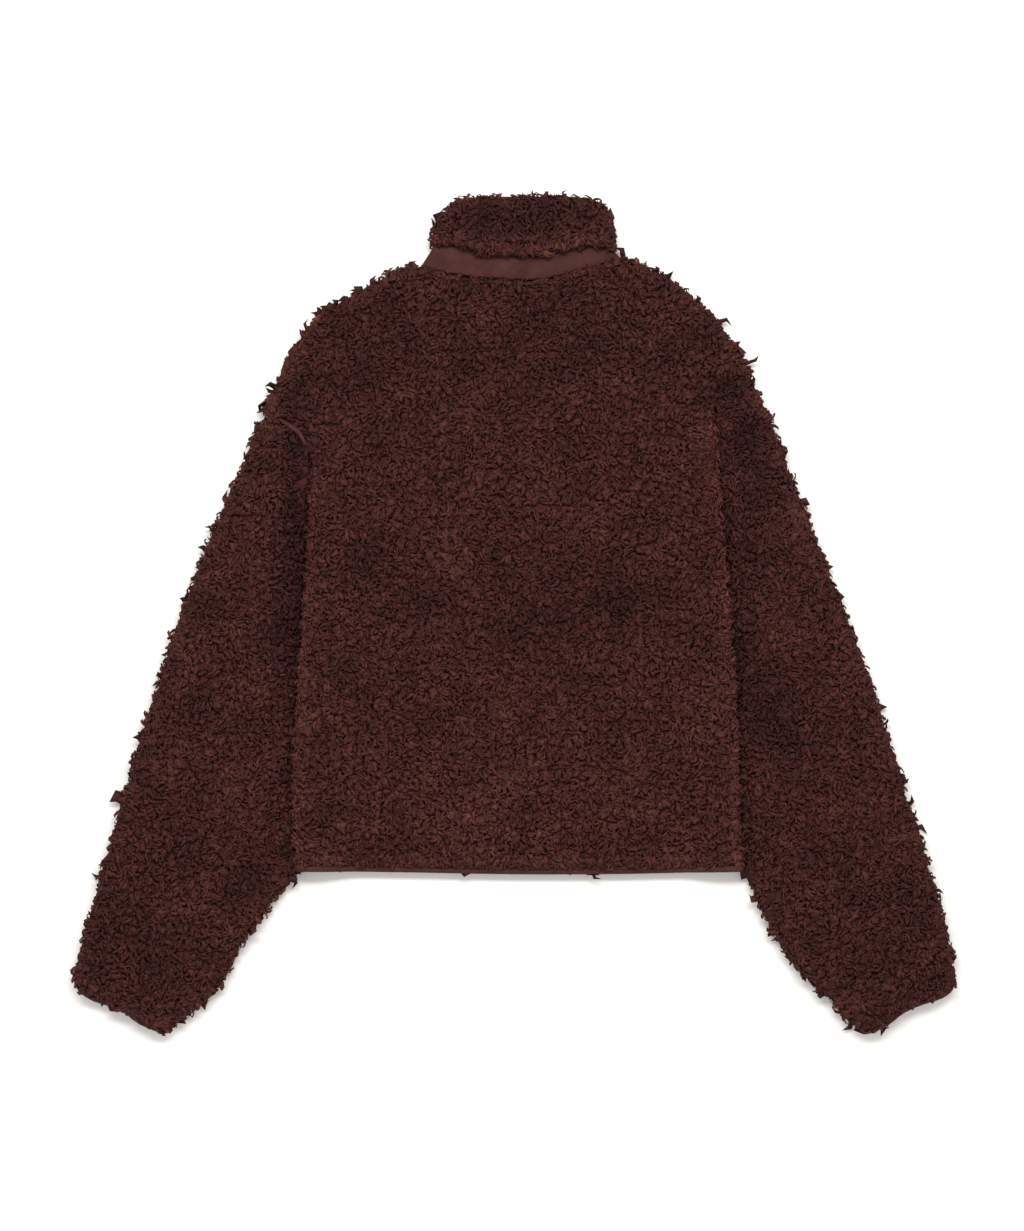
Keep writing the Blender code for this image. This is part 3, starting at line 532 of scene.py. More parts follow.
def body_layer(plan, far, sides, radius, sign, edge=1.0):
    """One layer of the body, up (sign 1) or down (-1) from the slit between the two. Its
    height over the slit is the way to the far side times a quarter round towards the
    outline and hem, and a row is turned in at the neck and at the hem."""
    seam = body_seam(plan)
    ends = end_share(plan[..., 1] - across(HEM, plan[..., 0]))
    share = side_round(plan, sides, radius) * ends * edge
    heights = seam + sign * SEAM_GAP / 2 + (far - seam) * share
    return np.vstack([np.dstack([plan[:1], seam[:1] + sign * BAND_WALL]),
                      np.dstack([plan, heights]),
                      np.dstack([plan[-1:], seam[-1:] + sign * TRIM_WALL])])


def back_surface():
    """Top of the back: the layer up to the crest."""
    plan = body_plan()
    return body_layer(plan, crest(plan), ("left", "right"), BODY_ROUND, 1.0)


def front_surface(side):
    """Underside of a front: the layer down to the floor, thinner by a fifth at the zip."""
    plan = front_plan(side)
    gap = np.abs(plan[..., 0] - FRONT_X) - CHANNEL / 2
    edge = 0.8 + 0.2 * rounded(gap, FRONT_EDGE_ROUND)
    return body_layer(plan, floor(plan), (side,), UNDER_ROUND, -1.0, edge)


def sleeve_plan(side, runs):
    """Plan points of a sleeve: rows along it, columns from the outer to the inner fold."""
    outer, armhole, under, inner, cuff = {
        "left": (OUTER_LEFT, ARMHOLE_LEFT, UNDER_LEFT, INNER_LEFT, CUFF_LEFT),
        "right": (OUTER_RIGHT, ARMHOLE_RIGHT, UNDER_RIGHT, INNER_RIGHT, CUFF_RIGHT),
    }[side]
    first = joined(line(armhole, NEAR_EDGE), line(under, (0,) + TO_UNDERARM))
    last = line(cuff, share_of(first, first))
    shares, sides = share_of(first, first), (line(outer, runs), line(inner, runs))
    return patch(first, last, *sides, runs, (1 - shares, shares))


def fold_distance(plan):
    """Distance of each point to the nearer fold of its row."""
    left = np.linalg.norm(plan - plan[:, :1], axis=-1)
    right = np.linalg.norm(plan - plan[:, -1:], axis=-1)
    return np.minimum(left, right)


def ring(plan, low, high, share):
    """Rows of closed loops: over the top from fold to fold, and back beneath."""
    seam = low + MIDDLE * (high - low)
    top = np.dstack([plan, seam + (high - seam) * share])
    under = np.dstack([plan, seam - (seam - low) * share])
    return np.hstack([top, under[:, -2:0:-1]])


def sleeve_surface(side):
    """Outside of a sleeve: closed rings, rounded at both folds, turned in at the cuff."""
    end = 1.0 - (TRIM_WIDTH + SEAM_GAP) / SLEEVE_RUN
    runs = np.linspace(0, end, SLEEVE_RINGS + 1)
    plan = sleeve_plan(side, runs)
    high, gap = sleeve_crest(plan, side), fold_distance(plan)
    share = rounded(gap, SLEEVE_ROUND) * end_share((end - runs)[:, None] * SLEEVE_RUN)
    rings = ring(plan, np.zeros(high.shape), high, share)
    seam = MIDDLE * high[-1:]
    share = rounded(gap[-1:], SLEEVE_LIP_ROUND)
    lip = ring(plan[-1:], seam - TRIM_WALL, seam + TRIM_WALL, share)
    return np.vstack([rings, lip])


def cuff_surface(side):
    """Outside of a cuff's binding: closed rings with a rounded edge."""
    runs = np.linspace(1.0 - TRIM_WIDTH / SLEEVE_RUN, 1.0, TRIM_ROWS)
    plan = sleeve_plan(side, runs)
    seam = MIDDLE * sleeve_crest(plan, side)
    low, high = seam - TRIM_WALL * MIDDLE * 2, seam + TRIM_WALL * (1 - MIDDLE) * 2
    bead = np.sqrt(1 - (np.linspace(*BEAD, TRIM_ROWS) ** 2))[:, None]
    return ring(plan, low, high, rounded(fold_distance(plan), TRIM_ROUND) * bead)


def level_ends(level):
    """The x of both side folds at a level between the tables."""
    index = min(int(level), len(BACK_LEVELS) - 2)
    part = level - index
    below, above = BACK_LEVELS[index], BACK_LEVELS[index + 1]
    return [(1 - part) * below[k][0] + part * above[k][0] for k in (0, -1)]


def level_y(levels, level, x):
    """The y of a line across the neck at a level between the tables."""
    index = min(int(level), len(levels) - 2)
    part = level - index
    ends = level_ends(level)
    share = (x - ends[0]) / (ends[1] - ends[0])
    y = 0.0
    for table, weight in ((levels[index], 1 - part), (levels[index + 1], part)):
        y = y + weight * across(table, table[0][0] + share * (table[-1][0] - table[0][0]))
    return y


def split_ring(ends):
    """The x from one front edge beneath, over the back and to the other front edge.

    The layer is -1 beneath, 0 at the folds and 1 on top."""
    back = ends[0] + (ends[1] - ends[0]) * spaced(BACK_COLUMNS + 1)
    left, right = to_channel(back, "left")[::-1], to_channel(back, "right")[::-1]
    below, above = -np.ones(len(left) - 1), np.ones(len(back) - 2)
    layer = np.concatenate([below, [0], above, [0], below])
    return np.concatenate([left, back[1:-1], right]), layer


def front_y(level, x):
    """The front's line at a level: it leaves the back's line beyond the fold."""
    ends = level_ends(level)
    share = fold_gap(x, ends) / (ends[1] - ends[0])
    parted = smooth((share - PARTING_START) / PARTING_RUN)
    back = level_y(BACK_LEVELS, level, x)
    return back + (level_y(FRONT_LEVELS, level, x) - back) * parted


def fold_gap(x, ends):
    """Distance along x to the nearer of both ends."""
    return np.minimum(np.abs(x - ends[0]), np.abs(x - ends[1]))


def neck_row(level, reach):
    """One row of a ring at the neck: its line in plan, and its height from reach()."""
    ends = level_ends(level)
    x, layer = split_ring(ends)
    y = np.where(layer < 0, front_y(level, x), level_y(BACK_LEVELS, level, x))
    plan = np.column_stack([x, y])
    seam = body_seam(plan)
    return np.column_stack([plan, seam + layer * reach(plan, seam, layer, ends)])


def collar_surface():
    """Outside of the collar: rows up from the band, rounded at its folds, with a lip."""
    rows = []
    for level in np.linspace(1.0, 3.0, COLLAR_ROWS):
        top = end_share((3.0 - level) * COLLAR_LEVEL_RUN)

        def reach(plan, seam, layer, ends):
            full = np.where(layer > 0, crest(plan) - seam, seam)
            return full * rounded(fold_gap(plan[:, 0], ends), COLLAR_ROUND) * top

        rows.append(neck_row(level, reach))

    def lip(plan, seam, layer, ends):
        return COLLAR_LIP * rounded(fold_gap(plan[:, 0], ends), COLLAR_ROUND)

    return np.array([neck_row(1.0, lip)] + rows + [neck_row(3.0, lip)])


def band_surface():
    """Outside of the neck band: a smooth strip that swells a little in its middle."""

    def reach(plan, seam, layer, ends):
        edge = rounded(fold_gap(plan[:, 0], ends), TRIM_ROUND)
        return (SLIT / 2 + BAND_WALL) * edge * swell

    rows = []
    for share in np.linspace(0, 1, BAND_ROWS):
        swell = 0.93 + 0.07 * np.sin(np.pi * share)
        rows.append(neck_row(BAND_ENDS[0] + (BAND_ENDS[1] - BAND_ENDS[0]) * share, reach))
    return np.array(rows)


def hem_surface():
    """Outside of the hem binding: a narrow ring with a rounded edge."""
    ends = (HEM[0][0], HEM[-1][0])
    x, layer = split_ring(ends)
    depth = (SLIT / 2 + TRIM_WALL) * rounded(fold_gap(x, ends), TRIM_ROUND)
    plan = np.column_stack([x, across(HEM, x)])
    seam = body_seam(plan)
    rows = []
    for share in np.linspace(0, 1, TRIM_ROWS):
        bead = np.sqrt(1 - (BEAD[0] + (BEAD[1] - BEAD[0]) * share) ** 2)
        drop = SEAM_GAP + (TRIM_WIDTH - SEAM_GAP) * share
        rows.append(np.column_stack([plan - (0, drop), seam + layer * depth * bead]))
    return np.array(rows)


# ---- building meshes


def grid_normals(grid, closed, sign):
    """Unit normals of a surface grid from its differences along rows and columns."""
    down = np.gradient(grid, axis=0)
    if closed:
        side = (np.roll(grid, -1, axis=1) - np.roll(grid, 1, axis=1)) / 2
    else:
        side = np.gradient(grid, axis=1)
    return unit(np.cross(side, down) * sign)


def softened(grid, closed, passes):
    """Normals averaged with their neighbours, so that lips turn gradually."""
    for _ in range(passes):
        padded = np.pad(grid, ((1, 1), (0, 0), (0, 0)), mode="edge")
        if closed:
            wide = np.pad(padded, ((0, 0), (1, 1), (0, 0)), mode="wrap")
        else:
            wide = np.pad(padded, ((0, 0), (1, 1), (0, 0)), mode="edge")
        grid = (4 * wide[1:-1, 1:-1] + wide[:-2, 1:-1] + wide[2:, 1:-1]
                + wide[1:-1, :-2] + wide[1:-1, 2:]) / 8
    return unit(grid)


def quads_of(rows, columns, closed):
    """Corner indices of a grid's quads; a closed one joins its ends."""
    index = wrapped(np.arange(rows * columns).reshape(rows, columns), closed)
    corners = [index[:-1, :-1], index[:-1, 1:], index[1:, 1:], index[1:, :-1]]
    return np.stack(corners, -1).reshape(-1, 4)


def border_quads(rows, columns, closed):
    """Quads between the borders of two equal grids, the second numbered after the first."""
    index = wrapped(np.arange(rows * columns).reshape(rows, columns), closed)
    if closed:
        loops = [index[0], index[-1]]
    else:
        loops = [np.concatenate([index[0, :-1], index[:-1, -1], index[-1, :0:-1],
                                 index[::-1, 0]])]
    count = rows * columns
    quads = [np.column_stack([loop[:-1], loop[1:], loop[1:] + count, loop[:-1] + count])
             for loop in loops]
    return np.vstack(quads)


def link(name, mesh, material, body="jacket"):
    """Puts a mesh into the scene as an object that moves with a body."""
    mesh.materials.append(material)
    made = bpy.data.objects.new(name, mesh)
    bpy.context.collection.objects.link(made)
    if body:
        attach(made, body)
    return made


def closed_piece(name, points, faces, material):
    """A piece from points in mm, its faces turned outwards and shaded smooth."""
    mesh = bpy.data.meshes.new(name)
    mesh.from_pydata((points * MM).tolist(), [], faces)
    work = bmesh.new()
    work.from_mesh(mesh)
    bmesh.ops.recalc_face_normals(work, faces=work.faces)
    work.to_mesh(mesh)
    work.free()
    mesh.shade_smooth()
    return link(name, mesh, material)


def shell(name, outer, inner, closed, material):
    """A closed thin wall between two equal grids, with a map of lengths in metres."""
    rows, columns = outer.shape[:2]
    count = rows * columns
    quads = quads_of(rows, columns, closed)
    faces = np.vstack([quads, quads + count, border_quads(rows, columns, closed)])
    points = np.vstack([outer.reshape(-1, 3), inner.reshape(-1, 3)])
    made = closed_piece(name, points, faces.tolist(), material)
    run = np.linalg.norm(np.diff(outer, axis=1), axis=-1).mean(0)
    drop = np.linalg.norm(np.diff(outer, axis=0), axis=-1).mean(1)
    u = np.concatenate([[0], np.cumsum(run)]) * MM
    v = np.concatenate([[0], np.cumsum(drop)]) * MM
    flat = np.stack(np.broadcast_arrays(u[None, :], v[:, None]), -1).reshape(-1, 2)
    map_points(made.data, np.vstack([flat, flat]))
    return made


def map_points(mesh, places):
    """A UV map from one place per vertex."""
    corners = np.empty(len(mesh.loops), np.int32)
    mesh.loops.foreach_get("vertex_index", corners)
    layer = mesh.uv_layers.new(name="cloth")
    layer.uv.foreach_set("vector", places[corners].astype(np.float32).ravel())


def cloth(name, surface, closed, sign, depth, thick, material):
    """A thin shell that lies a pile's depth inside a surface, less so at its lips."""
    normals = softened(grid_normals(surface, closed, sign), closed, 2)
    outer = surface - normals * depth[..., None]
    return shell(name, outer, outer - normals * thick, closed, material)


def pile_depth(surface, depth, first, last):
    """Depth of the pile at each point of a grid: small at the rows that are lips."""
    values = np.full(surface.shape[:2], depth)
    lip = np.array([[LIP_DEPTH], [depth * NEXT_TO_LIP]])
    if first:
        values[:2] = lip
    if last:
        values[-2:] = lip[::-1]
    return values * (1 - np.clip(bells(surface[..., :2], TUCKS), 0, DEEPEST_TUCK))


# ---- pile, in millimetres

RINGS = np.array([0.0, 0.36, 0.72])  # stations of a lock's rings, before its tip
THICK = np.array([0.9, 1.0, 0.78])  # its thickness there
RISE = np.array([0.0, 0.78, 1.02, 0.84])  # its rise there and at the tip
SIDES = 3
FLATNESS = 0.45
UNDERSIDE_TOP = 13.0  # all that faces the ground lies below this
LOWEST = 0.25  # of the pile above the ground
STEEP, STEEP_EXTRA = 0.5, 0.35  # share of more locks where a normal leans further
LIP_REACH, LIP_EXTRA = 12.0, 0.7  # share of more locks this near to a lip
HANG_REACH = 10.0  # locks this near to a lip hang over it
TUFTS, TUFT_EDGE = 0.24, 0.55  # share of the locks beyond this steepness that stand out
TUFTS_HANGING = 0.66
AGAINST = 0.15  # share of the locks that curl against their clump
CURL = (0.5, 3.7)  # how far a lock turns, in radians
LENGTHS, WIDTHS = (0.65, 1.25), (0.65, 1.3)  # shares of the named length and width
TUFT_RISE, TUFT_HOOK = (0.0, 3.8), (-0.4, 0.7)
PRESSED = (0.2, 1.4)  # how far an underside's lock lies inside the surface
START = 0.33  # share of a lock's length that lies behind its place
FLOW_WAVE, FLOW_SEED, CLUMP_SEED = 60.0, 11, 5
TONE_WAVES = ((0.3, 30.0, 21), (0.45, 75.0, 22))  # strength, length, seed
TO_CLUMP = 0.15  # share of the way to its clump's centre that a lock is moved
PER_SQUARE_CM = 1e-2  # from locks per square centimetre to locks per square millimetre
BESIDE_FADE, BESIDE_OVER = 30.0, 4.0  # run below the armhole, and reach past the edge
# Changes beside the body's side edges, as amount and reach: on the sleeve painted shade
# (tint and tone) and a lower pile, on the body painted light and a higher pile
SLEEVE_SHADE_TINT, SLEEVE_SHADE_TONE, SLEEVE_HEIGHT_CHANGE = (0.9, 6.0), (-1.0, 5.0), (-3.0, 3.5)
BODY_EDGE_LIGHT, BODY_HEIGHT_CHANGE = (1.5, 10.0), (1.2, 5.0)
WELT_CLEAR, WELT_LOW = 3.0, 16.0  # no lock starts this near the welt, above this height
ZIP_STRIP, ZIP_STRIP_TOP = 13.0, 14.0  # or this near the zip's middle, below this height
ZIP_CLEAR = 8.5  # and none reaches nearer than this to it
CLUMP_TABLE, CLUMP_BORDER = 97, 8.0  # squares before the clumps repeat, width of a border
FIRST_SEED, SEED_STEP = 40, 10


def wavy(points, length, seed, terms=9):
    """Smooth noise over the plan, about -1 to 1: the sum of sine waves in seeded
    directions, their lengths 0.7 to 1.5 times the given one."""
    rng = np.random.default_rng(seed)
    total = np.zeros(points.shape[:-1])
    for turn, phase, scale in rng.uniform(0, 1, (terms, 3)):
        angle, wave = 2 * np.pi * turn, 2 * np.pi / (length * (0.7 + 0.8 * scale))
        way = points[..., 0] * np.cos(angle) + points[..., 1] * np.sin(angle)
        total += np.sin(way * wave + 2 * np.pi * phase)
    return total / np.sqrt(terms / 2) / 1.6


def between(grid, row, column, down, side):
    """Values of a grid at shares down and along its cells."""
    after = (column + 1) % grid.shape[1]
    down, side = down[:, None], side[:, None]
    upper = grid[row, column] * (1 - side) + grid[row, after] * side
    lower = grid[row + 1, column] * (1 - side) + grid[row + 1, after] * side
    return upper * (1 - down) + lower * down


def scattered(surface, closed, density, seed):
    """Even places over a grid: equal steps of weighted area along each strip of cells,
    with golden-ratio steps across it. Density is locks per square mm for each row and
    column of cells. Returns cell row, cell column and the shares inside the cell."""
    rng = np.random.default_rng(seed)
    wide = wrapped(surface, closed)
    side, down = wide[:-1, 1:] - wide[:-1, :-1], wide[1:, :-1] - wide[:-1, :-1]
    weight = np.linalg.norm(np.cross(side, down), axis=-1) * density
    total = np.concatenate([[0], np.cumsum(weight.ravel())])
    count = int(total[-1])
    steps = np.arange(count)
    at = np.clip(steps + 0.5 + rng.uniform(-0.45, 0.45, count), 0, total[-1] - 1e-6)
    cell = np.clip(np.searchsorted(total, at, side="right") - 1, 0, weight.size - 1)
    along = (at - total[cell]) / np.maximum(weight.ravel()[cell], 1e-9)
    over = (steps * GOLDEN + rng.uniform(-0.12, 0.12, count)) % 1.0
    return cell // weight.shape[1], cell % weight.shape[1], over, np.clip(along, 0, 1)




def lock_lines(place, normal, lock):
    """Centre lines of the locks: they rise from the cloth and bend over in a curl.

    Flow is the angle in the plan in which a lock starts. In the surface each is an arc,
    the integral of a direction that turns evenly. Its rise goes from the cloth, a depth
    below the place, to a height above it, and hook is the share that the tip falls back."""
    flow = lock["flow"]
    heading = np.column_stack([np.cos(flow), np.sin(flow), np.full(len(flow), 1e-3)])
    heading = unit(heading - normal * (heading * normal).sum(1, keepdims=True))
    beside = np.cross(normal, heading)
    t = np.append(RINGS, 1.0)[None, :]
    depth, length, turn, height, hook = (
        lock[key][:, None] for key in ("depth", "length", "curl", "height", "hook"))
    ahead = length * (np.sin(turn * t) / turn - START)
    aside = length * (1 - np.cos(turn * t)) / turn
    up = -depth + (depth + height) * (RISE - hook * t**4)
    return (place[:, None] + ahead[..., None] * heading[:, None]
            + aside[..., None] * beside[:, None] + up[..., None] * normal[:, None])


def lock_points(lines, normal, radius, rng):
    """Rings of three points round each centre line, flatter than wide, and the tip."""
    step = unit(np.gradient(lines, axis=1))
    side = unit(np.cross(step, normal[:, None]))
    up = np.cross(side, step)
    angle = 2 * np.pi * np.arange(SIDES) / SIDES + rng.uniform(0, 6.28, (len(lines), 1))
    wide = (radius[:, None] * THICK)[:, :, None, None]
    around = (np.cos(angle)[:, None, :, None] * side[:, :-1, None]
              + FLATNESS * np.sin(angle)[:, None, :, None] * up[:, :-1, None])
    rings = lines[:, :-1, None] + around * wide
    return np.concatenate([rings.reshape(len(lines), -1, 3), lines[:, -1:]], axis=1)


def lock_faces():
    """Corners of one lock: quads between its rings, the tip's triangles and its base."""
    rings = np.arange(len(RINGS) * SIDES).reshape(-1, SIDES)
    after = np.roll(rings, -1, axis=1)
    quads = np.stack([rings[:-1], after[:-1], after[1:], rings[1:]], -1).reshape(-1, 4)
    tip = np.full(SIDES, len(RINGS) * SIDES)
    tips = np.stack([rings[-1], after[-1], tip], -1)
    return quads, np.vstack([tips, rings[:1, ::-1]])


def locks_mesh(name, points, tone, material):
    """One mesh of many closed locks, with each lock's tone and share along it."""
    count, per = points.shape[:2]
    quads, triangles = lock_faces()
    base = (np.arange(count) * per)[:, None, None]
    loops = np.concatenate([(quads + base).reshape(-1), (triangles + base).reshape(-1)])
    sizes = np.repeat([4, 3], [count * len(quads), count * len(triangles)])
    starts = np.concatenate([[0], np.cumsum(sizes)[:-1]])
    mesh = bpy.data.meshes.new(name)
    mesh.vertices.add(count * per)
    mesh.vertices.foreach_set("co", (points * MM).astype(np.float32).ravel())
    mesh.loops.add(len(loops))
    mesh.loops.foreach_set("vertex_index", loops.astype(np.int32))
    mesh.polygons.add(len(sizes))
    mesh.polygons.foreach_set("loop_start", starts.astype(np.int32))
    mesh.update(calc_edges=True)
    mesh.shade_smooth()
    # tone with painted light and shade, share of the purple tint (painted shade with darker
    # places), share along the lock
    add_values(mesh, "lock_tone", np.repeat(tone[:, 0], per))
    add_values(mesh, "lock_patch", np.repeat(tone[:, 1], per))
    add_values(mesh, "lock_along", np.tile(np.append(np.repeat(RINGS, SIDES), 1.0), count))
    map_locks(mesh, count)
    return link(name, mesh, material)


def map_locks(mesh, count):
    """A UV map: once round each lock across, and once from root to tip along."""
    left = np.arange(SIDES) / SIDES
    right, t = left + 1 / SIDES, np.append(RINGS, 1.0)
    quads = [[(a, low), (b, low), (b, high), (a, high)]
             for low, high in zip(t[:-2], t[1:-1]) for a, b in zip(left, right)]
    tips = [[(a, t[-2]), (b, t[-2]), ((a + b) / 2, 1.0)] for a, b in zip(left, right)]
    base = [(0.0, 0.0), (0.5, 0.0), (0.25, 0.02)]
    sides = np.tile(np.array(quads).reshape(-1, 2), (count, 1))
    ends = np.tile(np.vstack([np.array(tips).reshape(-1, 2), base]), (count, 1))
    layer = mesh.uv_layers.new(name="cloth")
    layer.uv.foreach_set("vector", np.vstack([sides, ends]).astype(np.float32).ravel())


def add_values(mesh, name, values):
    """Stores one number per vertex for the materials."""
    layer = mesh.attributes.new(name, "FLOAT", "POINT")
    layer.data.foreach_set("value", values.astype(np.float32))


def cell_density(surface, closed, pile):
    """Locks per square mm in each cell: fewer where the surface faces the ground."""
    corners = wrapped(surface, closed)[:-1, :-1]
    normals = wrapped(grid_normals(surface, closed, 1.0), closed)[:-1, :-1]
    facing = np.abs(normals[..., 2])
    low = under(corners, facing)
    density = np.where(low, pile.density_beneath, pile.density)
    lip = from_lips(corners[..., :2].reshape(-1, 2)).reshape(low.shape) < LIP_REACH
    return density * (1 + STEEP_EXTRA * (facing < STEEP)) * (1 + LIP_EXTRA * (lip & ~low))


def under(place, facing):
    """The places that lie on the surface below, apart from those by the tucks."""
    near = bells(place[..., :2], TUCKS) > BY_TUCK
    return (place[..., 2] < UNDERSIDE_TOP) & (facing > STEEP) & ~near


def kept_places(place):
    """All but those on the armhole's roll and over the zip."""
    on_welt = (distance_to(place[:, :2], welt_line()) < WELT_CLEAR) & (place[:, 2] > WELT_LOW)
    on_zip = (np.abs(place[:, 0] - FRONT_X) < ZIP_STRIP) & (place[:, 2] < ZIP_STRIP_TOP)
    return ~on_welt & ~on_zip


def clumps(plan, size, seed):
    """The clump each place belongs to: one centre in every square of a grid, moved at
    random inside it, and the nearest of the nine about a place is its own. Returns the
    way to the centre, the share from the clump's border to 4 mm inside it, and four
    random numbers of the clump from 0 to 1."""
    table = np.random.default_rng(seed).uniform(size=(CLUMP_TABLE, CLUMP_TABLE, 6))
    cell = np.floor(plan / size).astype(int)
    near = np.stack(np.meshgrid([-1, 0, 1], [-1, 0, 1]), -1).reshape(-1, 2)
    cells = cell[:, None] + near
    facts = table[cells[..., 0] % CLUMP_TABLE, cells[..., 1] % CLUMP_TABLE]
    centre = (cells + 0.1 + 0.8 * facts[..., :2]) * size
    away = np.linalg.norm(centre - plan[:, None], axis=-1)
    order = np.argsort(away, axis=1)
    rows = np.arange(len(plan))
    first, second = order[:, 0], order[:, 1]
    border = away[rows, second] - away[rows, first]
    return centre[rows, first] - plan, smooth(border / CLUMP_BORDER), facts[rows, first, 2:]


def beside_body(plan, inside, amount, reach):
    """An amount along the body's side edges that fades as a bell over a reach on the
    named side of them, and sets in below the armhole."""
    share = np.zeros(len(plan))
    for side, inward in INWARD.items():
        gap = (plan[:, 0] - seam_x(plan, side)) * inward * (1.0 if inside else -1.0)
        started = smooth((EDGES[side, "seam"][0, 1] - plan[:, 1]) / BESIDE_FADE)
        share += np.exp(-((gap / reach) ** 2)) * (gap > -BESIDE_OVER) * started
    return amount * share


def welt_line():
    """The part of the left armhole's seam that shows as a smooth roll."""
    return line(ARMHOLE_LEFT, np.linspace(*WELT_ENDS, WELT_ROWS))


def from_lips(plan):
    """Distance to the nearest lip: the hem, a cuff or the collar's lower edge."""
    return np.minimum.reduce([distance_to(plan, line(table, EDGE_SHARES))
                              for table in (HEM, CUFF_LEFT, CUFF_RIGHT, BACK_LEVELS[1])])


def lock_sizes(plan, normal, deep, pile, beneath, rng, inner, chance):
    """Depth, length, curl, height, hook, flow and radius of each lock. A third of them
    are a broad low bed, the rest are slim curls on it, and some at the edges stand out
    as tufts. The random draws stay in this order."""
    count = len(plan)
    edge = np.clip(1 - np.abs(normal[:, 2]), 0, 1)
    near_lip = from_lips(plan) < HANG_REACH
    bed = rng.uniform(size=count) < pile.bed
    tuft = (rng.uniform(size=count) < TUFTS * (edge > TUFT_EDGE)) & ~bed
    over_lip = near_lip & ~beneath & ~bed
    coarse = np.where(beneath, pile.coarse, 1.0)
    # in the surface: longer where it turns further, and mostly the clump's way round
    turn = rng.uniform(*CURL, count)
    length = pile.length * rng.uniform(*LENGTHS, count) * (0.85 + 0.12 * turn) * coarse
    length *= np.where(tuft, 0.9, 1 - 0.3 * edge)
    against = rng.uniform(size=count) < AGAINST
    curl = np.sign(chance[:, 0] - 0.5) * np.where(against, -turn, turn)
    curl *= np.where(tuft, 0.6, 1.0)
    curl *= np.where(over_lip, 0.6, 1.0)
    # above the surface: high inside a clump, low on steep places and in the bed
    height = 2.6 * (inner - 0.6) + rng.normal(0, 0.6, count) - 2.0 * edge
    height += (1.6 + 1.6 * edge) * (chance[:, 1] - 0.5)
    height += np.where(bed, -2.0, 0.2) + tuft * rng.uniform(*TUFT_RISE, count)
    height += 1.2 * over_lip
    # direction: a wide wave and the clump's own, but tufts and lips hang or stand up
    flow = 2.6 * wavy(plan, FLOW_WAVE, FLOW_SEED) + 4.4 * (chance[:, 2] - 0.5)
    flow += rng.normal(0, 0.5, count)
    hanging = near_lip | (rng.uniform(size=count) < TUFTS_HANGING)
    upright = np.where(hanging, -np.pi / 2, np.pi / 2) + rng.normal(0, 0.6, count)
    flow = np.where(tuft | over_lip, upright, flow)
    hook = 0.55 * edge * np.where(tuft, rng.uniform(*TUFT_HOOK, count), 1.0)
    # thickness, and the underside's locks are pressed into the surface
    width = np.where(bed, pile.bed_width, pile.width + 2.2 * tuft)
    width = width * rng.uniform(*WIDTHS, count)
    radius = width * coarse / 2 * (1 + 0.25 * over_lip)
    pressed = -FLATNESS * radius - rng.uniform(*PRESSED, count)
    height = np.where(beneath, pressed, height)
    return {"depth": np.maximum(deep, 2.0), "length": length, "curl": curl,
            "height": height, "hook": hook, "flow": flow, "radius": radius}


def shades(plan, normal, closed, inner, chance, rng):
    """Columns: tone of each lock, about -1 to 1, and share of the dark purple tint. The tint is
    painted shade in the troughs of folds, under the armhole's welt and, on a sleeve, beside the
    body's side edges, and it darkens some other places. The tone is the sum of a random part,
    two wide waves, the table's bells of painted light and shade and of lighter and darker
    places, painted light on steep places, painted shade on a sleeve beside the body's edges and
    painted light on the body along them, and the clump's own tone with painted shade towards
    each clump's border."""
    tone = rng.normal(0, 0.1, len(plan))
    # two wide waves of tone, and the table's bells: painted light and shade, with lighter and
    # darker places of the pile
    tone += sum(strength * wavy(plan, length, seed)
                for strength, length, seed in TONE_WAVES) + bells(plan, LIGHT_SHADE_AND_TONE)
    # painted light: the steeper the place, the lighter its locks
    tone += 1.3 * np.clip(1 - np.abs(normal[:, 2]), 0, 1) ** 2
    # share of the purple tint: painted shade in troughs and by the welt, with darker places
    shadow = bells(plan, SHADE_AND_DARK_PATCHES) + 0.12 * rng.normal(size=len(plan))
    # on a sleeve, painted shade beside the body's side edges; on the body, painted light along
    # them
    if closed:
        shadow += beside_body(plan, False, *SLEEVE_SHADE_TINT)
        tone += beside_body(plan, False, *SLEEVE_SHADE_TONE)
    else:
        tone += beside_body(plan, True, *BODY_EDGE_LIGHT)
    # painted shade towards each clump's border, besides each clump's random tone
    tone = np.clip(tone, -2, 2.5) + (0.6 * (chance[:, 3] - 0.5) + 0.8 * (inner - 0.5))
    return np.column_stack([tone, np.clip(shadow, 0, 1)])


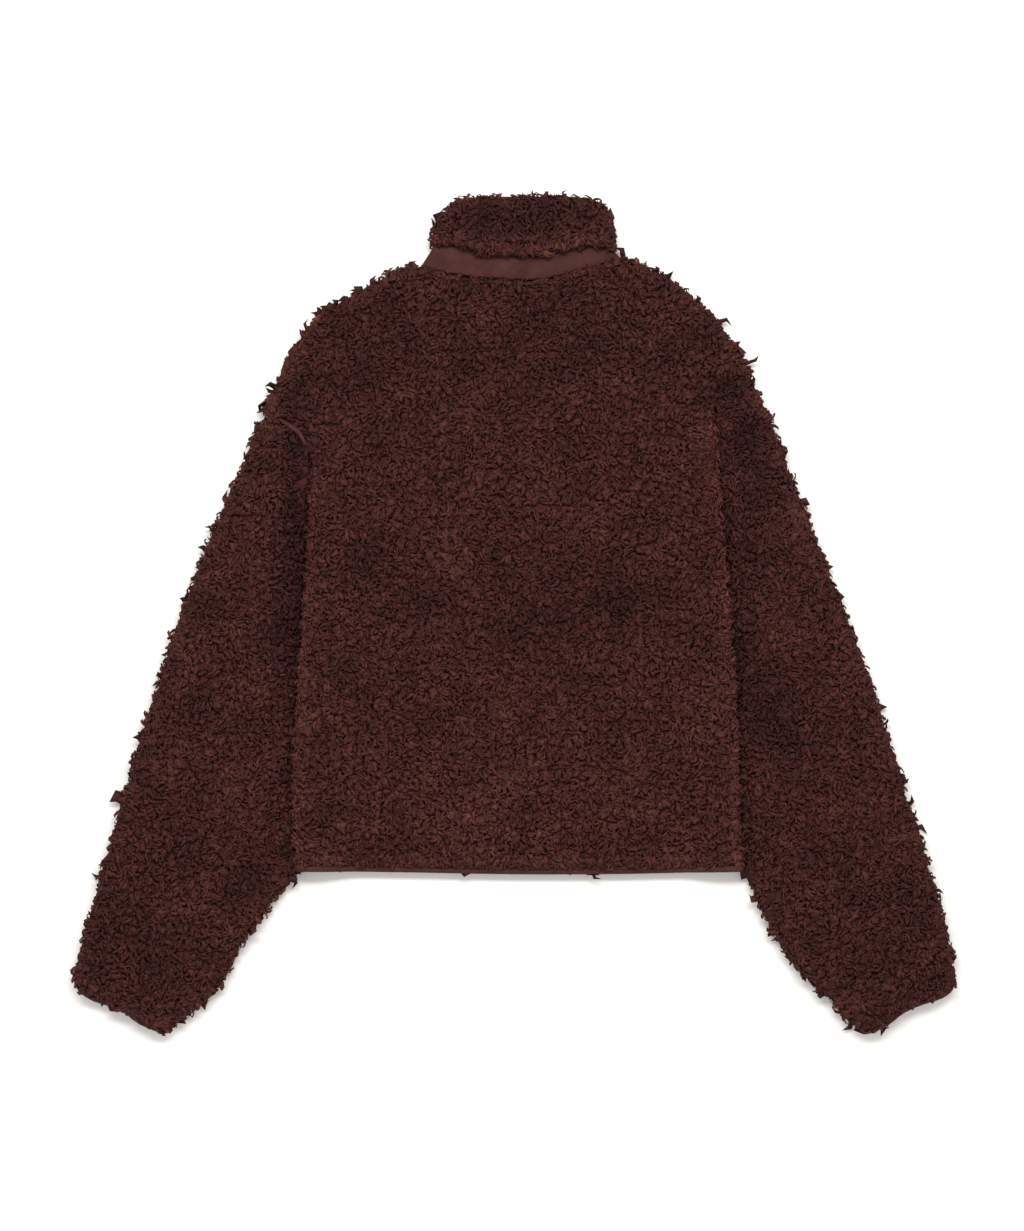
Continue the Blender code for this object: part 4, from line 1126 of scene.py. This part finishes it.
def grow(name, surface, closed, sign, depth, pile, seed, material, longer, split):
    """Locks of pile all over a surface grid, in one or more pieces. Those that would lie
    below the ground are lifted to it, and those that would cross the zip are left out."""
    rng = np.random.default_rng(seed)
    normals = softened(grid_normals(surface, closed, sign), closed, 2)
    density = cell_density(surface, closed, pile) * PER_SQUARE_CM
    row, column, down, side = scattered(surface, closed, density, seed + 1)
    place = between(surface, row, column, down, side)
    normal = unit(between(normals, row, column, down, side))
    deep = between(depth[..., None], row, column, down, side)[:, 0]
    kept = kept_places(place)
    place, normal, deep = place[kept], normal[kept], deep[kept]
    to_middle, inner, chance = clumps(place[:, :2], pile.clump, CLUMP_SEED)
    place[:, :2] += TO_CLUMP * to_middle * normal[:, 2:] ** 2
    plan = place[:, :2]
    beneath = under(place, np.abs(normal[:, 2]))
    lock = lock_sizes(plan, normal, deep, pile, beneath, rng, inner, chance)
    lock["length"] *= longer
    change = SLEEVE_HEIGHT_CHANGE if closed else BODY_HEIGHT_CHANGE
    lock["height"] += beside_body(plan, not closed, *change)
    lines = lock_lines(place, normal, lock)
    points = lock_points(lines, normal, lock["radius"], rng)
    points[..., 2] += np.maximum(LOWEST - points[..., 2].min(1), 0.0)[:, None]
    tone = shades(plan, normal, closed, inner, chance, rng)
    over_zip = (np.abs(points[..., 0] - FRONT_X) < ZIP_CLEAR) & (points[..., 2] < UNDERSIDE_TOP)
    titles = [name] if split == 1 else [name + "_" + letter for letter in "ab"[:split]]
    parts = np.array_split(np.flatnonzero(~over_zip.any(1)), split)
    return [locks_mesh(title, points[part], tone[part], material)
            for title, part in zip(titles, parts)]


# ---- materials

NAP_SCALE = 700.0

def wired_group(name, inputs, outputs, nodes, links):
    """A shader group from tables. Inputs are (name, kind, value) and outputs (name,
    kind). A node is (kind, settings, values of its inputs). A link is a line of text,
    node.output > node.input, and a number there is the place of an input."""
    group = bpy.data.node_groups.new(name, "ShaderNodeTree")
    for title, kind, value in inputs:
        socket = group.interface.new_socket(title, in_out="INPUT", socket_type=kind)
        socket.default_value = value
    for title, kind in outputs:
        group.interface.new_socket(title, in_out="OUTPUT", socket_type=kind)
    made = {"in": group.nodes.new("NodeGroupInput"),
            "out": group.nodes.new("NodeGroupOutput")}
    for title, (kind, settings, values) in nodes.items():
        node = made[title] = group.nodes.new("ShaderNode" + kind)
        for key, value in settings.items():
            setattr(node, key, value)
        for key, value in values.items():
            node.inputs[key].default_value = value
    for row in links.strip().splitlines():
        (giver, plug), (taker, socket) = (end.strip().split(".") for end in row.split(">"))
        socket = int(socket) if socket.isdigit() else socket
        group.links.new(made[giver].outputs[plug], made[taker].inputs[socket])
    return group


COLOUR, VALUE, VECTOR = "NodeSocketColor", "NodeSocketFloat", "NodeSocketVector"
MIX, MULTIPLY = {"data_type": "RGBA"}, {"data_type": "RGBA", "blend_type": "MULTIPLY"}


def pile_colour_group():
    """Colour from root to tip, lighter or darker by the lock's tone, and dimmed towards a purple
    tint by the lock's share of it. The root's colour paints the pile's depth: painted shade with
    these defaults, darker than the tip, and painted light with the jacket's settings, lighter
    than the tip. The tone holds painted light and shade besides the pile's own tone, and the
    tint is mostly painted shade, in troughs and beside the body's edges.
    """
    return wired_group(
        "Pile colour",
        [("Root", COLOUR, (0.02, 0.007, 0.006, 1)), ("Tip", COLOUR, (0.09, 0.03, 0.026, 1)),
         ("Patch", COLOUR, (0.6, 0.55, 0.75, 1)), ("Contrast", VALUE, 0.35),
         ("Strand", VALUE, 1.0)],
        [("Color", COLOUR)],
        {
            "along": ("Attribute", {"attribute_name": "lock_along"}, {}),
            "tone": ("Attribute", {"attribute_name": "lock_tone"}, {}),
            # share of the purple tint: painted shade, with darker places
            "dark": ("Attribute", {"attribute_name": "lock_patch"}, {}),
            "ramp": ("MapRange", {"interpolation_type": "SMOOTHSTEP"},
                     {"From Min": 0.1, "From Max": 0.75}),
            "mix": ("Mix", MIX, {}),
            "scale": ("Math", {"operation": "MULTIPLY_ADD"}, {2: 1.0}),
            "lines": ("Math", {"operation": "MULTIPLY"}, {}),
            "tint": ("Mix", MULTIPLY, {"Factor": 1.0}),
            "dim": ("Mix", MULTIPLY, {}),
        },
        """
        along.Fac > ramp.Value
        ramp.Result > mix.Factor
        in.Root > mix.A
        in.Tip > mix.B
        tone.Fac > scale.0
        in.Contrast > scale.1
        scale.Value > lines.0
        in.Strand > lines.1
        mix.Result > tint.A
        lines.Value > tint.B
        tint.Result > dim.A
        dark.Fac > dim.Factor
        in.Patch > dim.B
        dim.Result > out.Color
        """)


def strand_group():
    """Bump of fine strands that run along each lock, from its own map, and from the same bands a
    shade for the colour: painted light on the strands and painted shade between them.
    """
    return wired_group(
        "Strands",
        [("Strength", VALUE, 0.28), ("Strands", VALUE, 2.2), ("Gap", VALUE, 0.85)],
        [("Shade", VALUE), ("Normal", VECTOR)],
        {
            "place": ("UVMap", {"uv_map": "cloth"}, {}),
            "wave": ("TexWave", {"wave_type": "BANDS", "bands_direction": "X"},
                     {"Distortion": 2.6, "Detail": 2.0}),
            "shade": ("MapRange", {}, {"To Max": 1.1}),
            "bump": ("Bump", {}, {"Distance": 0.0008}),
        },
        """
        place.UV > wave.Vector
        in.Strands > wave.Scale
        wave.Fac > bump.Height
        in.Strength > bump.Strength
        wave.Fac > shade.Value
        in.Gap > shade.To Min
        shade.Result > out.Shade
        bump.Normal > out.Normal
        """)


def nap_group():
    """Short brushed nap: two sizes of noise as colour and bump, in object space."""
    return wired_group(
        "Brushed nap",
        [("Dark", COLOUR, (0.07, 0.026, 0.023, 1)), ("Light", COLOUR, (0.11, 0.042, 0.038, 1)),
         ("Scale", VALUE, 900.0), ("Strength", VALUE, 0.3)],
        [("Color", COLOUR), ("Normal", VECTOR)],
        {
            "place": ("TexCoord", {}, {}),
            "fine": ("TexNoise", {}, {"Detail": 4.0}),
            "broad": ("TexNoise", {}, {"Scale": 55.0}),
            "both": ("Math", {"operation": "ADD"}, {}),
            "spread": ("MapRange", {}, {"From Min": 0.62, "From Max": 1.38}),
            "mix": ("Mix", MIX, {}),
            "bump": ("Bump", {}, {"Distance": 0.0004}),
        },
        """
        place.Object > fine.Vector
        place.Object > broad.Vector
        in.Scale > fine.Scale
        fine.Fac > both.0
        broad.Fac > both.1
        both.Value > spread.Value
        spread.Result > mix.Factor
        in.Dark > mix.A
        in.Light > mix.B
        fine.Fac > bump.Height
        in.Strength > bump.Strength
        mix.Result > out.Color
        bump.Normal > out.Normal
        """)


def weave_group():
    """Fine ribs of a woven tape across its own map, as shade and bump."""
    return wired_group(
        "Woven tape",
        [("Colour", COLOUR, (0.05, 0.0165, 0.014, 1)), ("Ribs", VALUE, 260.0)],
        [("Color", COLOUR), ("Normal", VECTOR)],
        {
            "place": ("UVMap", {"uv_map": "cloth"}, {}),
            "wave": ("TexWave", {"wave_type": "BANDS", "bands_direction": "Y"}, {}),
            "shade": ("MapRange", {}, {"To Min": 0.7}),
            "tint": ("Mix", MULTIPLY, {"Factor": 1.0}),
            "bump": ("Bump", {}, {"Distance": 0.0003}),
        },
        """
        place.UV > wave.Vector
        in.Ribs > wave.Scale
        wave.Fac > shade.Value
        wave.Fac > bump.Height
        in.Colour > tint.A
        shade.Result > tint.B
        tint.Result > out.Color
        bump.Normal > out.Normal
        """)


def plain_material(name, colour, roughness, metallic=0.0, specular=0.5):
    """A material of one colour, which groups can refine."""
    material = bpy.data.materials.new(name)
    material.use_nodes = True
    shader = material.node_tree.nodes["Principled BSDF"]
    for key, value in (("Base Color", (*colour, 1.0)), ("Roughness", roughness),
                       ("Metallic", metallic), ("Specular IOR Level", specular)):
        shader.inputs[key].default_value = value
    return material


def use_group(material, group, values, links):
    """Adds a group to a material, sets its inputs and joins its outputs. A link is an
    output, and the node and input that take it."""
    node = material.node_tree.nodes.new("ShaderNodeGroup")
    node.node_tree = group
    for key, value in values.items():
        node.inputs[key].default_value = value
    for plug, taker, socket in links:
        material.node_tree.links.new(node.outputs[plug], taker.inputs[socket])
    return node


def coated(material, group, **values):
    """Adds a group whose colour and normal go to the material's shader."""
    shader = material.node_tree.nodes["Principled BSDF"]
    use_group(material, group, values,
              [("Color", shader, "Base Color"), ("Normal", shader, "Normal")])
    return material


def pile_material(settings):
    """Colour along each lock, shaded and bumped by its strands."""
    material = plain_material("jacket pile", settings.tip, 0.75, specular=0.1)
    shader = material.node_tree.nodes["Principled BSDF"]
    values = {"Root": (*settings.root, 1.0), "Tip": (*settings.tip, 1.0),
              "Contrast": settings.contrast}
    colour = use_group(material, pile_colour_group(), values, [("Color", shader, "Base Color")])
    use_group(material, strand_group(), {},
              [("Shade", colour, "Strand"), ("Normal", shader, "Normal")])
    return material


# ---- settings


def colour_setting(name, description, value):
    return bpy.props.FloatVectorProperty(
        name=name, description=description, default=value, size=3, subtype="COLOR",
        min=0.0, max=1.0)


def number_setting(name, description, value, low, high, **kind):
    return bpy.props.FloatProperty(
        name=name, description=description, default=value, min=low, max=high, **kind)


class ClothSettings(bpy.types.PropertyGroup):
    """Ground cloth of the fleece."""

    thick: number_setting("Thickness", "Ground cloth, mm", 1.6, 0.5, 4.0)
    depth: number_setting(
        "Pile depth", "From the ground cloth to the pile's top, mm", 5.6, 2.0, 9.0)
    colour: colour_setting("Colour", "Ground cloth between the locks", (0.052, 0.0148, 0.0117))


class PileSettings(bpy.types.PropertyGroup):
    """Curled locks of the fleece."""

    density: number_setting("Density", "Locks per square centimetre on top", 8.0, 0.5, 12.0)
    density_beneath: number_setting(
        "Density beneath", "Locks per square centimetre on the underside", 0.8, 0.2, 12.0)
    coarse: number_setting(
        "Coarser beneath", "Size of the underside's locks, as a factor", 2.2, 1.0, 3.0)
    length: number_setting("Length", "Of a lock along the surface, mm", 10.4, 3.0, 25.0)
    clump: number_setting(
        "Clump", "Size of the clumps that the locks lie in, mm", 12.0, 4.0, 40.0)
    width: number_setting("Width", "Of a curl at its widest, mm", 3.1, 1.0, 10.0)
    bed: number_setting("Bed", "Share of broad low locks under the curls", 0.36, 0.0, 1.0,
                        subtype="FACTOR")
    bed_width: number_setting("Bed width", "Of a broad lock at its widest, mm", 6.8, 1.0, 14.0)
    contrast: number_setting("Contrast", "Difference in tone between locks", 0.27, 0.0, 1.0,
                             subtype="FACTOR")
    # The root is lighter and redder than the tip: painted light deep in the pile, where light
    # scatters between the fibres
    root: colour_setting("Root", "Colour at the root of a lock", (0.084, 0.0232, 0.0179))
    tip: colour_setting("Tip", "Colour at the tip of a lock", (0.0448, 0.014, 0.0114))


class TrimSettings(bpy.types.PropertyGroup):
    """Smooth neck band and bindings."""

    thick: number_setting("Thickness", "Of the smooth cloth, mm", 1.4, 0.5, 4.0)
    dark: colour_setting("Dark", "Hollows of the nap", (0.035, 0.0119, 0.0103))
    light: colour_setting("Light", "Tips of the nap", (0.07, 0.0262, 0.0231))


class ZipSettings(bpy.types.PropertyGroup):
    """Tape, teeth, slider and pull tab of the front zip."""

    tape: colour_setting("Tape", "Woven tape", (0.05, 0.0165, 0.014))
    metal: colour_setting("Teeth", "Teeth, slider and pull tab", (0.09, 0.055, 0.048))
    roughness: number_setting("Roughness", "Of the teeth and slider", 0.38, 0.0, 1.0,
                              subtype="FACTOR")


class StageSettings(bpy.types.PropertyGroup):
    """Floor, light and camera."""

    floor: colour_setting("Floor", "Colour of the floor", (0.8, 0.775, 0.745))
    sky: number_setting("Sky", "Strength of the light from all round", 0.98, 0.0, 5.0)
    key: number_setting(
        "Key light", "Power of the large soft light", 62.0, 0.0, 2000.0, unit="POWER")
    distance: number_setting(
        "Distance", "From the camera to the middle of the pile", 3.0, 0.5, 20.0, unit="LENGTH")


class JacketSettings(bpy.types.PropertyGroup):
    """All settings of the jacket."""

    cloth: bpy.props.PointerProperty(type=ClothSettings)
    pile: bpy.props.PointerProperty(type=PileSettings)
    trim: bpy.props.PointerProperty(type=TrimSettings)
    zip: bpy.props.PointerProperty(type=ZipSettings)
    stage: bpy.props.PointerProperty(type=StageSettings)


# ---- pieces


def fleece_pieces():
    """Surface, whether closed, outward sign and lips of each piece, and its lock length."""
    return {
        "back": (back_surface(), False, -1.0, (True, True), 1.0),
        "front_left": (front_surface("left"), False, 1.0, (True, True), 1.0),
        "front_right": (front_surface("right"), False, 1.0, (True, True), 1.0),
        "sleeve_left": (sleeve_surface("left"), True, -1.0, (False, True), 1.0),
        "sleeve_right": (sleeve_surface("right"), True, 1.0, (False, True), 1.0),
        "collar": (collar_surface(), False, 1.0, (True, True), 1.2),
    }


class JACKET_OT_fleece(bpy.types.Operator):
    """Builds the fleece pieces: a thin ground cloth each, with locks of pile on it"""

    bl_idname = "jacket.fleece"
    bl_label = "Fleece and pile"

    def execute(self, context):
        settings = context.scene.jacket
        thick = settings.cloth.thick
        ground = plain_material("jacket ground cloth", settings.cloth.colour, 0.95, specular=0.06)
        pile = pile_material(settings.pile)
        for k, (name, facts) in enumerate(fleece_pieces().items()):
            surface, closed, sign, lips, longer = facts
            depth = pile_depth(surface, settings.cloth.depth, *lips)
            base = cloth(name + "_cloth", surface, closed, sign, depth, thick, ground)
            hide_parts(name)
            locks = grow(name + "_pile", surface, closed, sign, depth, settings.pile,
                         FIRST_SEED + SEED_STEP * k, pile, longer, 2 if name == "back" else 1)
        return {"FINISHED"}


class JACKET_OT_sheets(bpy.types.Operator):
    """Finishes at once without doing anything"""

    bl_idname = "jacket.sheets"
    bl_label = "State the cuts"

    def execute(self, context):
        return {"FINISHED"}


class JACKET_OT_trims(bpy.types.Operator):
    """Builds the smooth neck band and the bindings of the hem and cuffs"""

    bl_idname = "jacket.trims"
    bl_label = "Band and bindings"

    def execute(self, context):
        settings = context.scene.jacket.trim
        smooth_cloth = coated(
            plain_material("jacket smooth trim", settings.light, 0.9, specular=0.08), nap_group(),
            Dark=(*settings.dark, 1.0), Light=(*settings.light, 1.0), Scale=NAP_SCALE)
        pieces = {
            "neck_band": (band_surface(), False, 1.0),
            "hem_binding": (hem_surface(), False, 1.0),
            "cuff_binding_left": (cuff_surface("left"), True, -1.0),
            "cuff_binding_right": (cuff_surface("right"), True, 1.0),
        }
        for name, (surface, closed, sign) in pieces.items():
            normals = softened(grid_normals(surface, closed, sign), closed, 1)
            inner = surface - normals * settings.thick
            made = shell(name + "_cloth", surface, inner, closed, smooth_cloth)
            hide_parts(name)
        tube("armhole_welt", welt_path(), WELT_RADIUS, smooth_cloth)
        return {"FINISHED"}


def tube(name, path, radius, material, sides=8):
    """A closed roll along a path: rings square to it, narrow at both ends."""
    step = unit(np.gradient(path, axis=0))
    side = unit(np.cross(step, [0.0, 0.0, 1.0]))
    up = np.cross(side, step)
    angle = 2 * np.pi * np.arange(sides) / sides
    swell = radius * np.sqrt(np.sin(np.pi * np.linspace(0.04, 0.96, len(path))))
    around = np.cos(angle)[:, None] * side[:, None] + np.sin(angle)[:, None] * up[:, None]
    rings = path[:, None] + around * swell[:, None, None]
    count = len(path) * sides
    faces = quads_of(len(path), sides, True).tolist()
    faces += [list(range(sides)), list(range(count - sides, count))]
    return closed_piece(name, rings.reshape(-1, 3), faces, material)


def welt_path():
    """The seam's roll lies on the crest of the pile."""
    plan = welt_line()
    wave = 0.5 * np.sin(np.linspace(0, 9, len(plan)))
    return np.column_stack([plan, crest(plan) - 0.4 + wave])


def tape_surface(side):
    """Underside of half the zip's tape: a straight strip with two soft sine waves, one
    sideways beyond its inner edge and one in height."""
    y = np.linspace(*ZIP_ENDS, TAPE_ROWS)[:, None]
    x = np.array([0.25, 1.4, 4.0, TAPE_WIDTH / 2]) * side
    wave = 0.12 * np.sin(y / 9.0) * (np.abs(x) > 2)
    z = TAPE_BOTTOM + 0.15 * np.cos(y / 14.0)
    return np.stack(np.broadcast_arrays(FRONT_X + x + wave, y, z), -1)


def teeth_mesh(name, material):
    """Two rows of rounded bars that mesh along the middle of the zip: each bar is a
    four-cornered section at every station of TOOTH, and the rows are half a pitch apart."""
    count = int((ZIP_ENDS[1] - ZIP_ENDS[0] - 2 * TOOTH_MARGIN) / TOOTH_PITCH)
    y = ZIP_ENDS[0] + TOOTH_MARGIN + TOOTH_PITCH * np.arange(count)
    x, half, low = np.array(TOOTH).T
    high = np.full(len(x), TOOTH_TOP)
    section = ((-half, low), (half, low), (half, high), (-half, high))
    bar = np.stack([np.stack([x, *corner], -1) for corner in section], 1).reshape(-1, 3)
    ends = np.arange(4) + np.array([[0], [len(bar) - 4]])
    single = np.vstack([quads_of(len(TOOTH), 4, True), ends])
    points = []
    for side, shift in ((1, 0.0), (-1, TOOTH_PITCH / 2)):
        place = np.column_stack([np.full(count, FRONT_X), y + shift, np.zeros(count)])
        points.append((place[:, None] + bar * (side, 1, 1)).reshape(-1, 3))
    faces = single + len(bar) * np.arange(2 * count)[:, None, None]
    return closed_piece(name, np.vstack(points), faces.reshape(-1, 4).tolist(), material)


class JACKET_OT_zip(bpy.types.Operator):
    """Builds the zip's tapes and teeth and finishes its slider and pull tab"""

    bl_idname = "jacket.zip"
    bl_label = "Front zip"

    def execute(self, context):
        settings = context.scene.jacket.zip
        woven = coated(plain_material("jacket zip tape", settings.tape, 0.85), weave_group(),
                       Colour=(*settings.tape, 1.0))
        metal = plain_material("jacket zip metal", settings.metal, settings.roughness, 0.8)
        halves = [tape_surface(side) for side in (1, -1)]
        lift = np.array([0.0, 0.0, TAPE_THICK])
        tape = shell("zip_tape", halves[0], halves[0] + lift, False, woven)
        other = shell("zip_tape_half", halves[1], halves[1] + lift, False, woven)
        join_into(tape, other)
        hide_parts("zip")
        teeth_mesh("zip_teeth", metal)
        for name in ("zip_slider", "zip_pull"):
            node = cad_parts[name]
            node.data.materials.clear()
            node.data.materials.append(metal)
        return {"FINISHED"}


def join_into(base, other):
    """Adds another piece's mesh to a base and removes the other."""
    work = bmesh.new()
    work.from_mesh(base.data)
    work.from_mesh(other.data)
    work.to_mesh(base.data)
    work.free()
    bpy.data.objects.remove(other)


class JACKET_OT_stage(bpy.types.Operator):
    """Sets the floor, the soft light and the camera above"""

    bl_idname = "jacket.stage"
    bl_label = "Stage"

    def execute(self, context):
        settings = context.scene.jacket.stage
        stage_floor(settings)
        stage_light(settings)
        stage_world(settings)
        stage_camera(settings)
        return {"FINISHED"}


def stage_floor(settings):
    """A large pale square under the jacket."""
    corners = [(x * FLOOR_REACH, y * FLOOR_REACH, FLOOR_LEVEL)
               for x, y in ((-1, -1), (1, -1), (1, 1), (-1, 1))]
    mesh = bpy.data.meshes.new("floor")
    mesh.from_pydata(corners, [], [(0, 1, 2, 3)])
    material = plain_material("stage floor", settings.floor, 0.9)
    return link("floor", mesh, material, body=None)


def stage_light(settings):
    """A large soft lamp beyond the collar, so that the shadow falls below the hem."""
    data = bpy.data.lights.new("key", "AREA")
    data.shape, (data.size, data.size_y) = "RECTANGLE", LAMP_SIZE
    data.energy = settings.key
    lamp = bpy.data.objects.new("key", data)
    lamp.location = LAMP_PLACE
    lamp.rotation_euler = (LAMP_TILT, 0.0, 0.0)
    bpy.context.collection.objects.link(lamp)
    return lamp


def stage_world(settings):
    """Even white light from all round."""
    world = bpy.data.worlds.new("stage world")
    world.use_nodes = True
    background = world.node_tree.nodes["Background"]
    background.inputs["Color"].default_value = (1, 1, 1, 1)
    background.inputs["Strength"].default_value = settings.sky
    bpy.context.scene.world = world
    bpy.context.scene.view_settings.view_transform = "Standard"


def stage_camera(settings):
    """A camera straight above the middle of the view, at a distance from mid pile."""
    data = bpy.data.cameras.new("camera")
    data.sensor_width = SENSOR
    data.lens = SENSOR * settings.distance / VIEW_HEIGHT
    camera = bpy.data.objects.new("camera", data)
    camera.location = (*VIEW_MIDDLE, settings.distance + PILE_MIDDLE)
    bpy.context.collection.objects.link(camera)
    bpy.context.scene.camera = camera


class JACKET_PT_panel(bpy.types.Panel):
    """Settings and buttons of the jacket"""

    bl_label = "Jacket"
    bl_space_type = "VIEW_3D"
    bl_region_type = "UI"
    bl_category = "Jacket"

    def draw(self, context):
        settings = context.scene.jacket
        for group in (settings.cloth, settings.pile, settings.trim, settings.zip,
                      settings.stage):
            box = self.layout.box()
            for key in group.__annotations__:
                box.prop(group, key)
        for operator in OPERATORS:
            self.layout.operator(operator.bl_idname)


OPERATORS = (
    JACKET_OT_fleece, JACKET_OT_trims, JACKET_OT_zip, JACKET_OT_sheets, JACKET_OT_stage,
)
CLASSES = (
    ClothSettings, PileSettings, TrimSettings, ZipSettings, StageSettings,
    JacketSettings, *OPERATORS, JACKET_PT_panel,
)


def register():
    for kind in CLASSES:
        bpy.utils.register_class(kind)
    bpy.types.Scene.jacket = bpy.props.PointerProperty(type=JacketSettings)


def unregister():
    del bpy.types.Scene.jacket
    for kind in reversed(CLASSES):
        bpy.utils.unregister_class(kind)


def main():
    register()
    bpy.ops.jacket.fleece()
    bpy.ops.jacket.trims()
    bpy.ops.jacket.zip()
    bpy.ops.jacket.sheets()
    bpy.ops.jacket.stage()


if __name__ == "__main__":
    main()
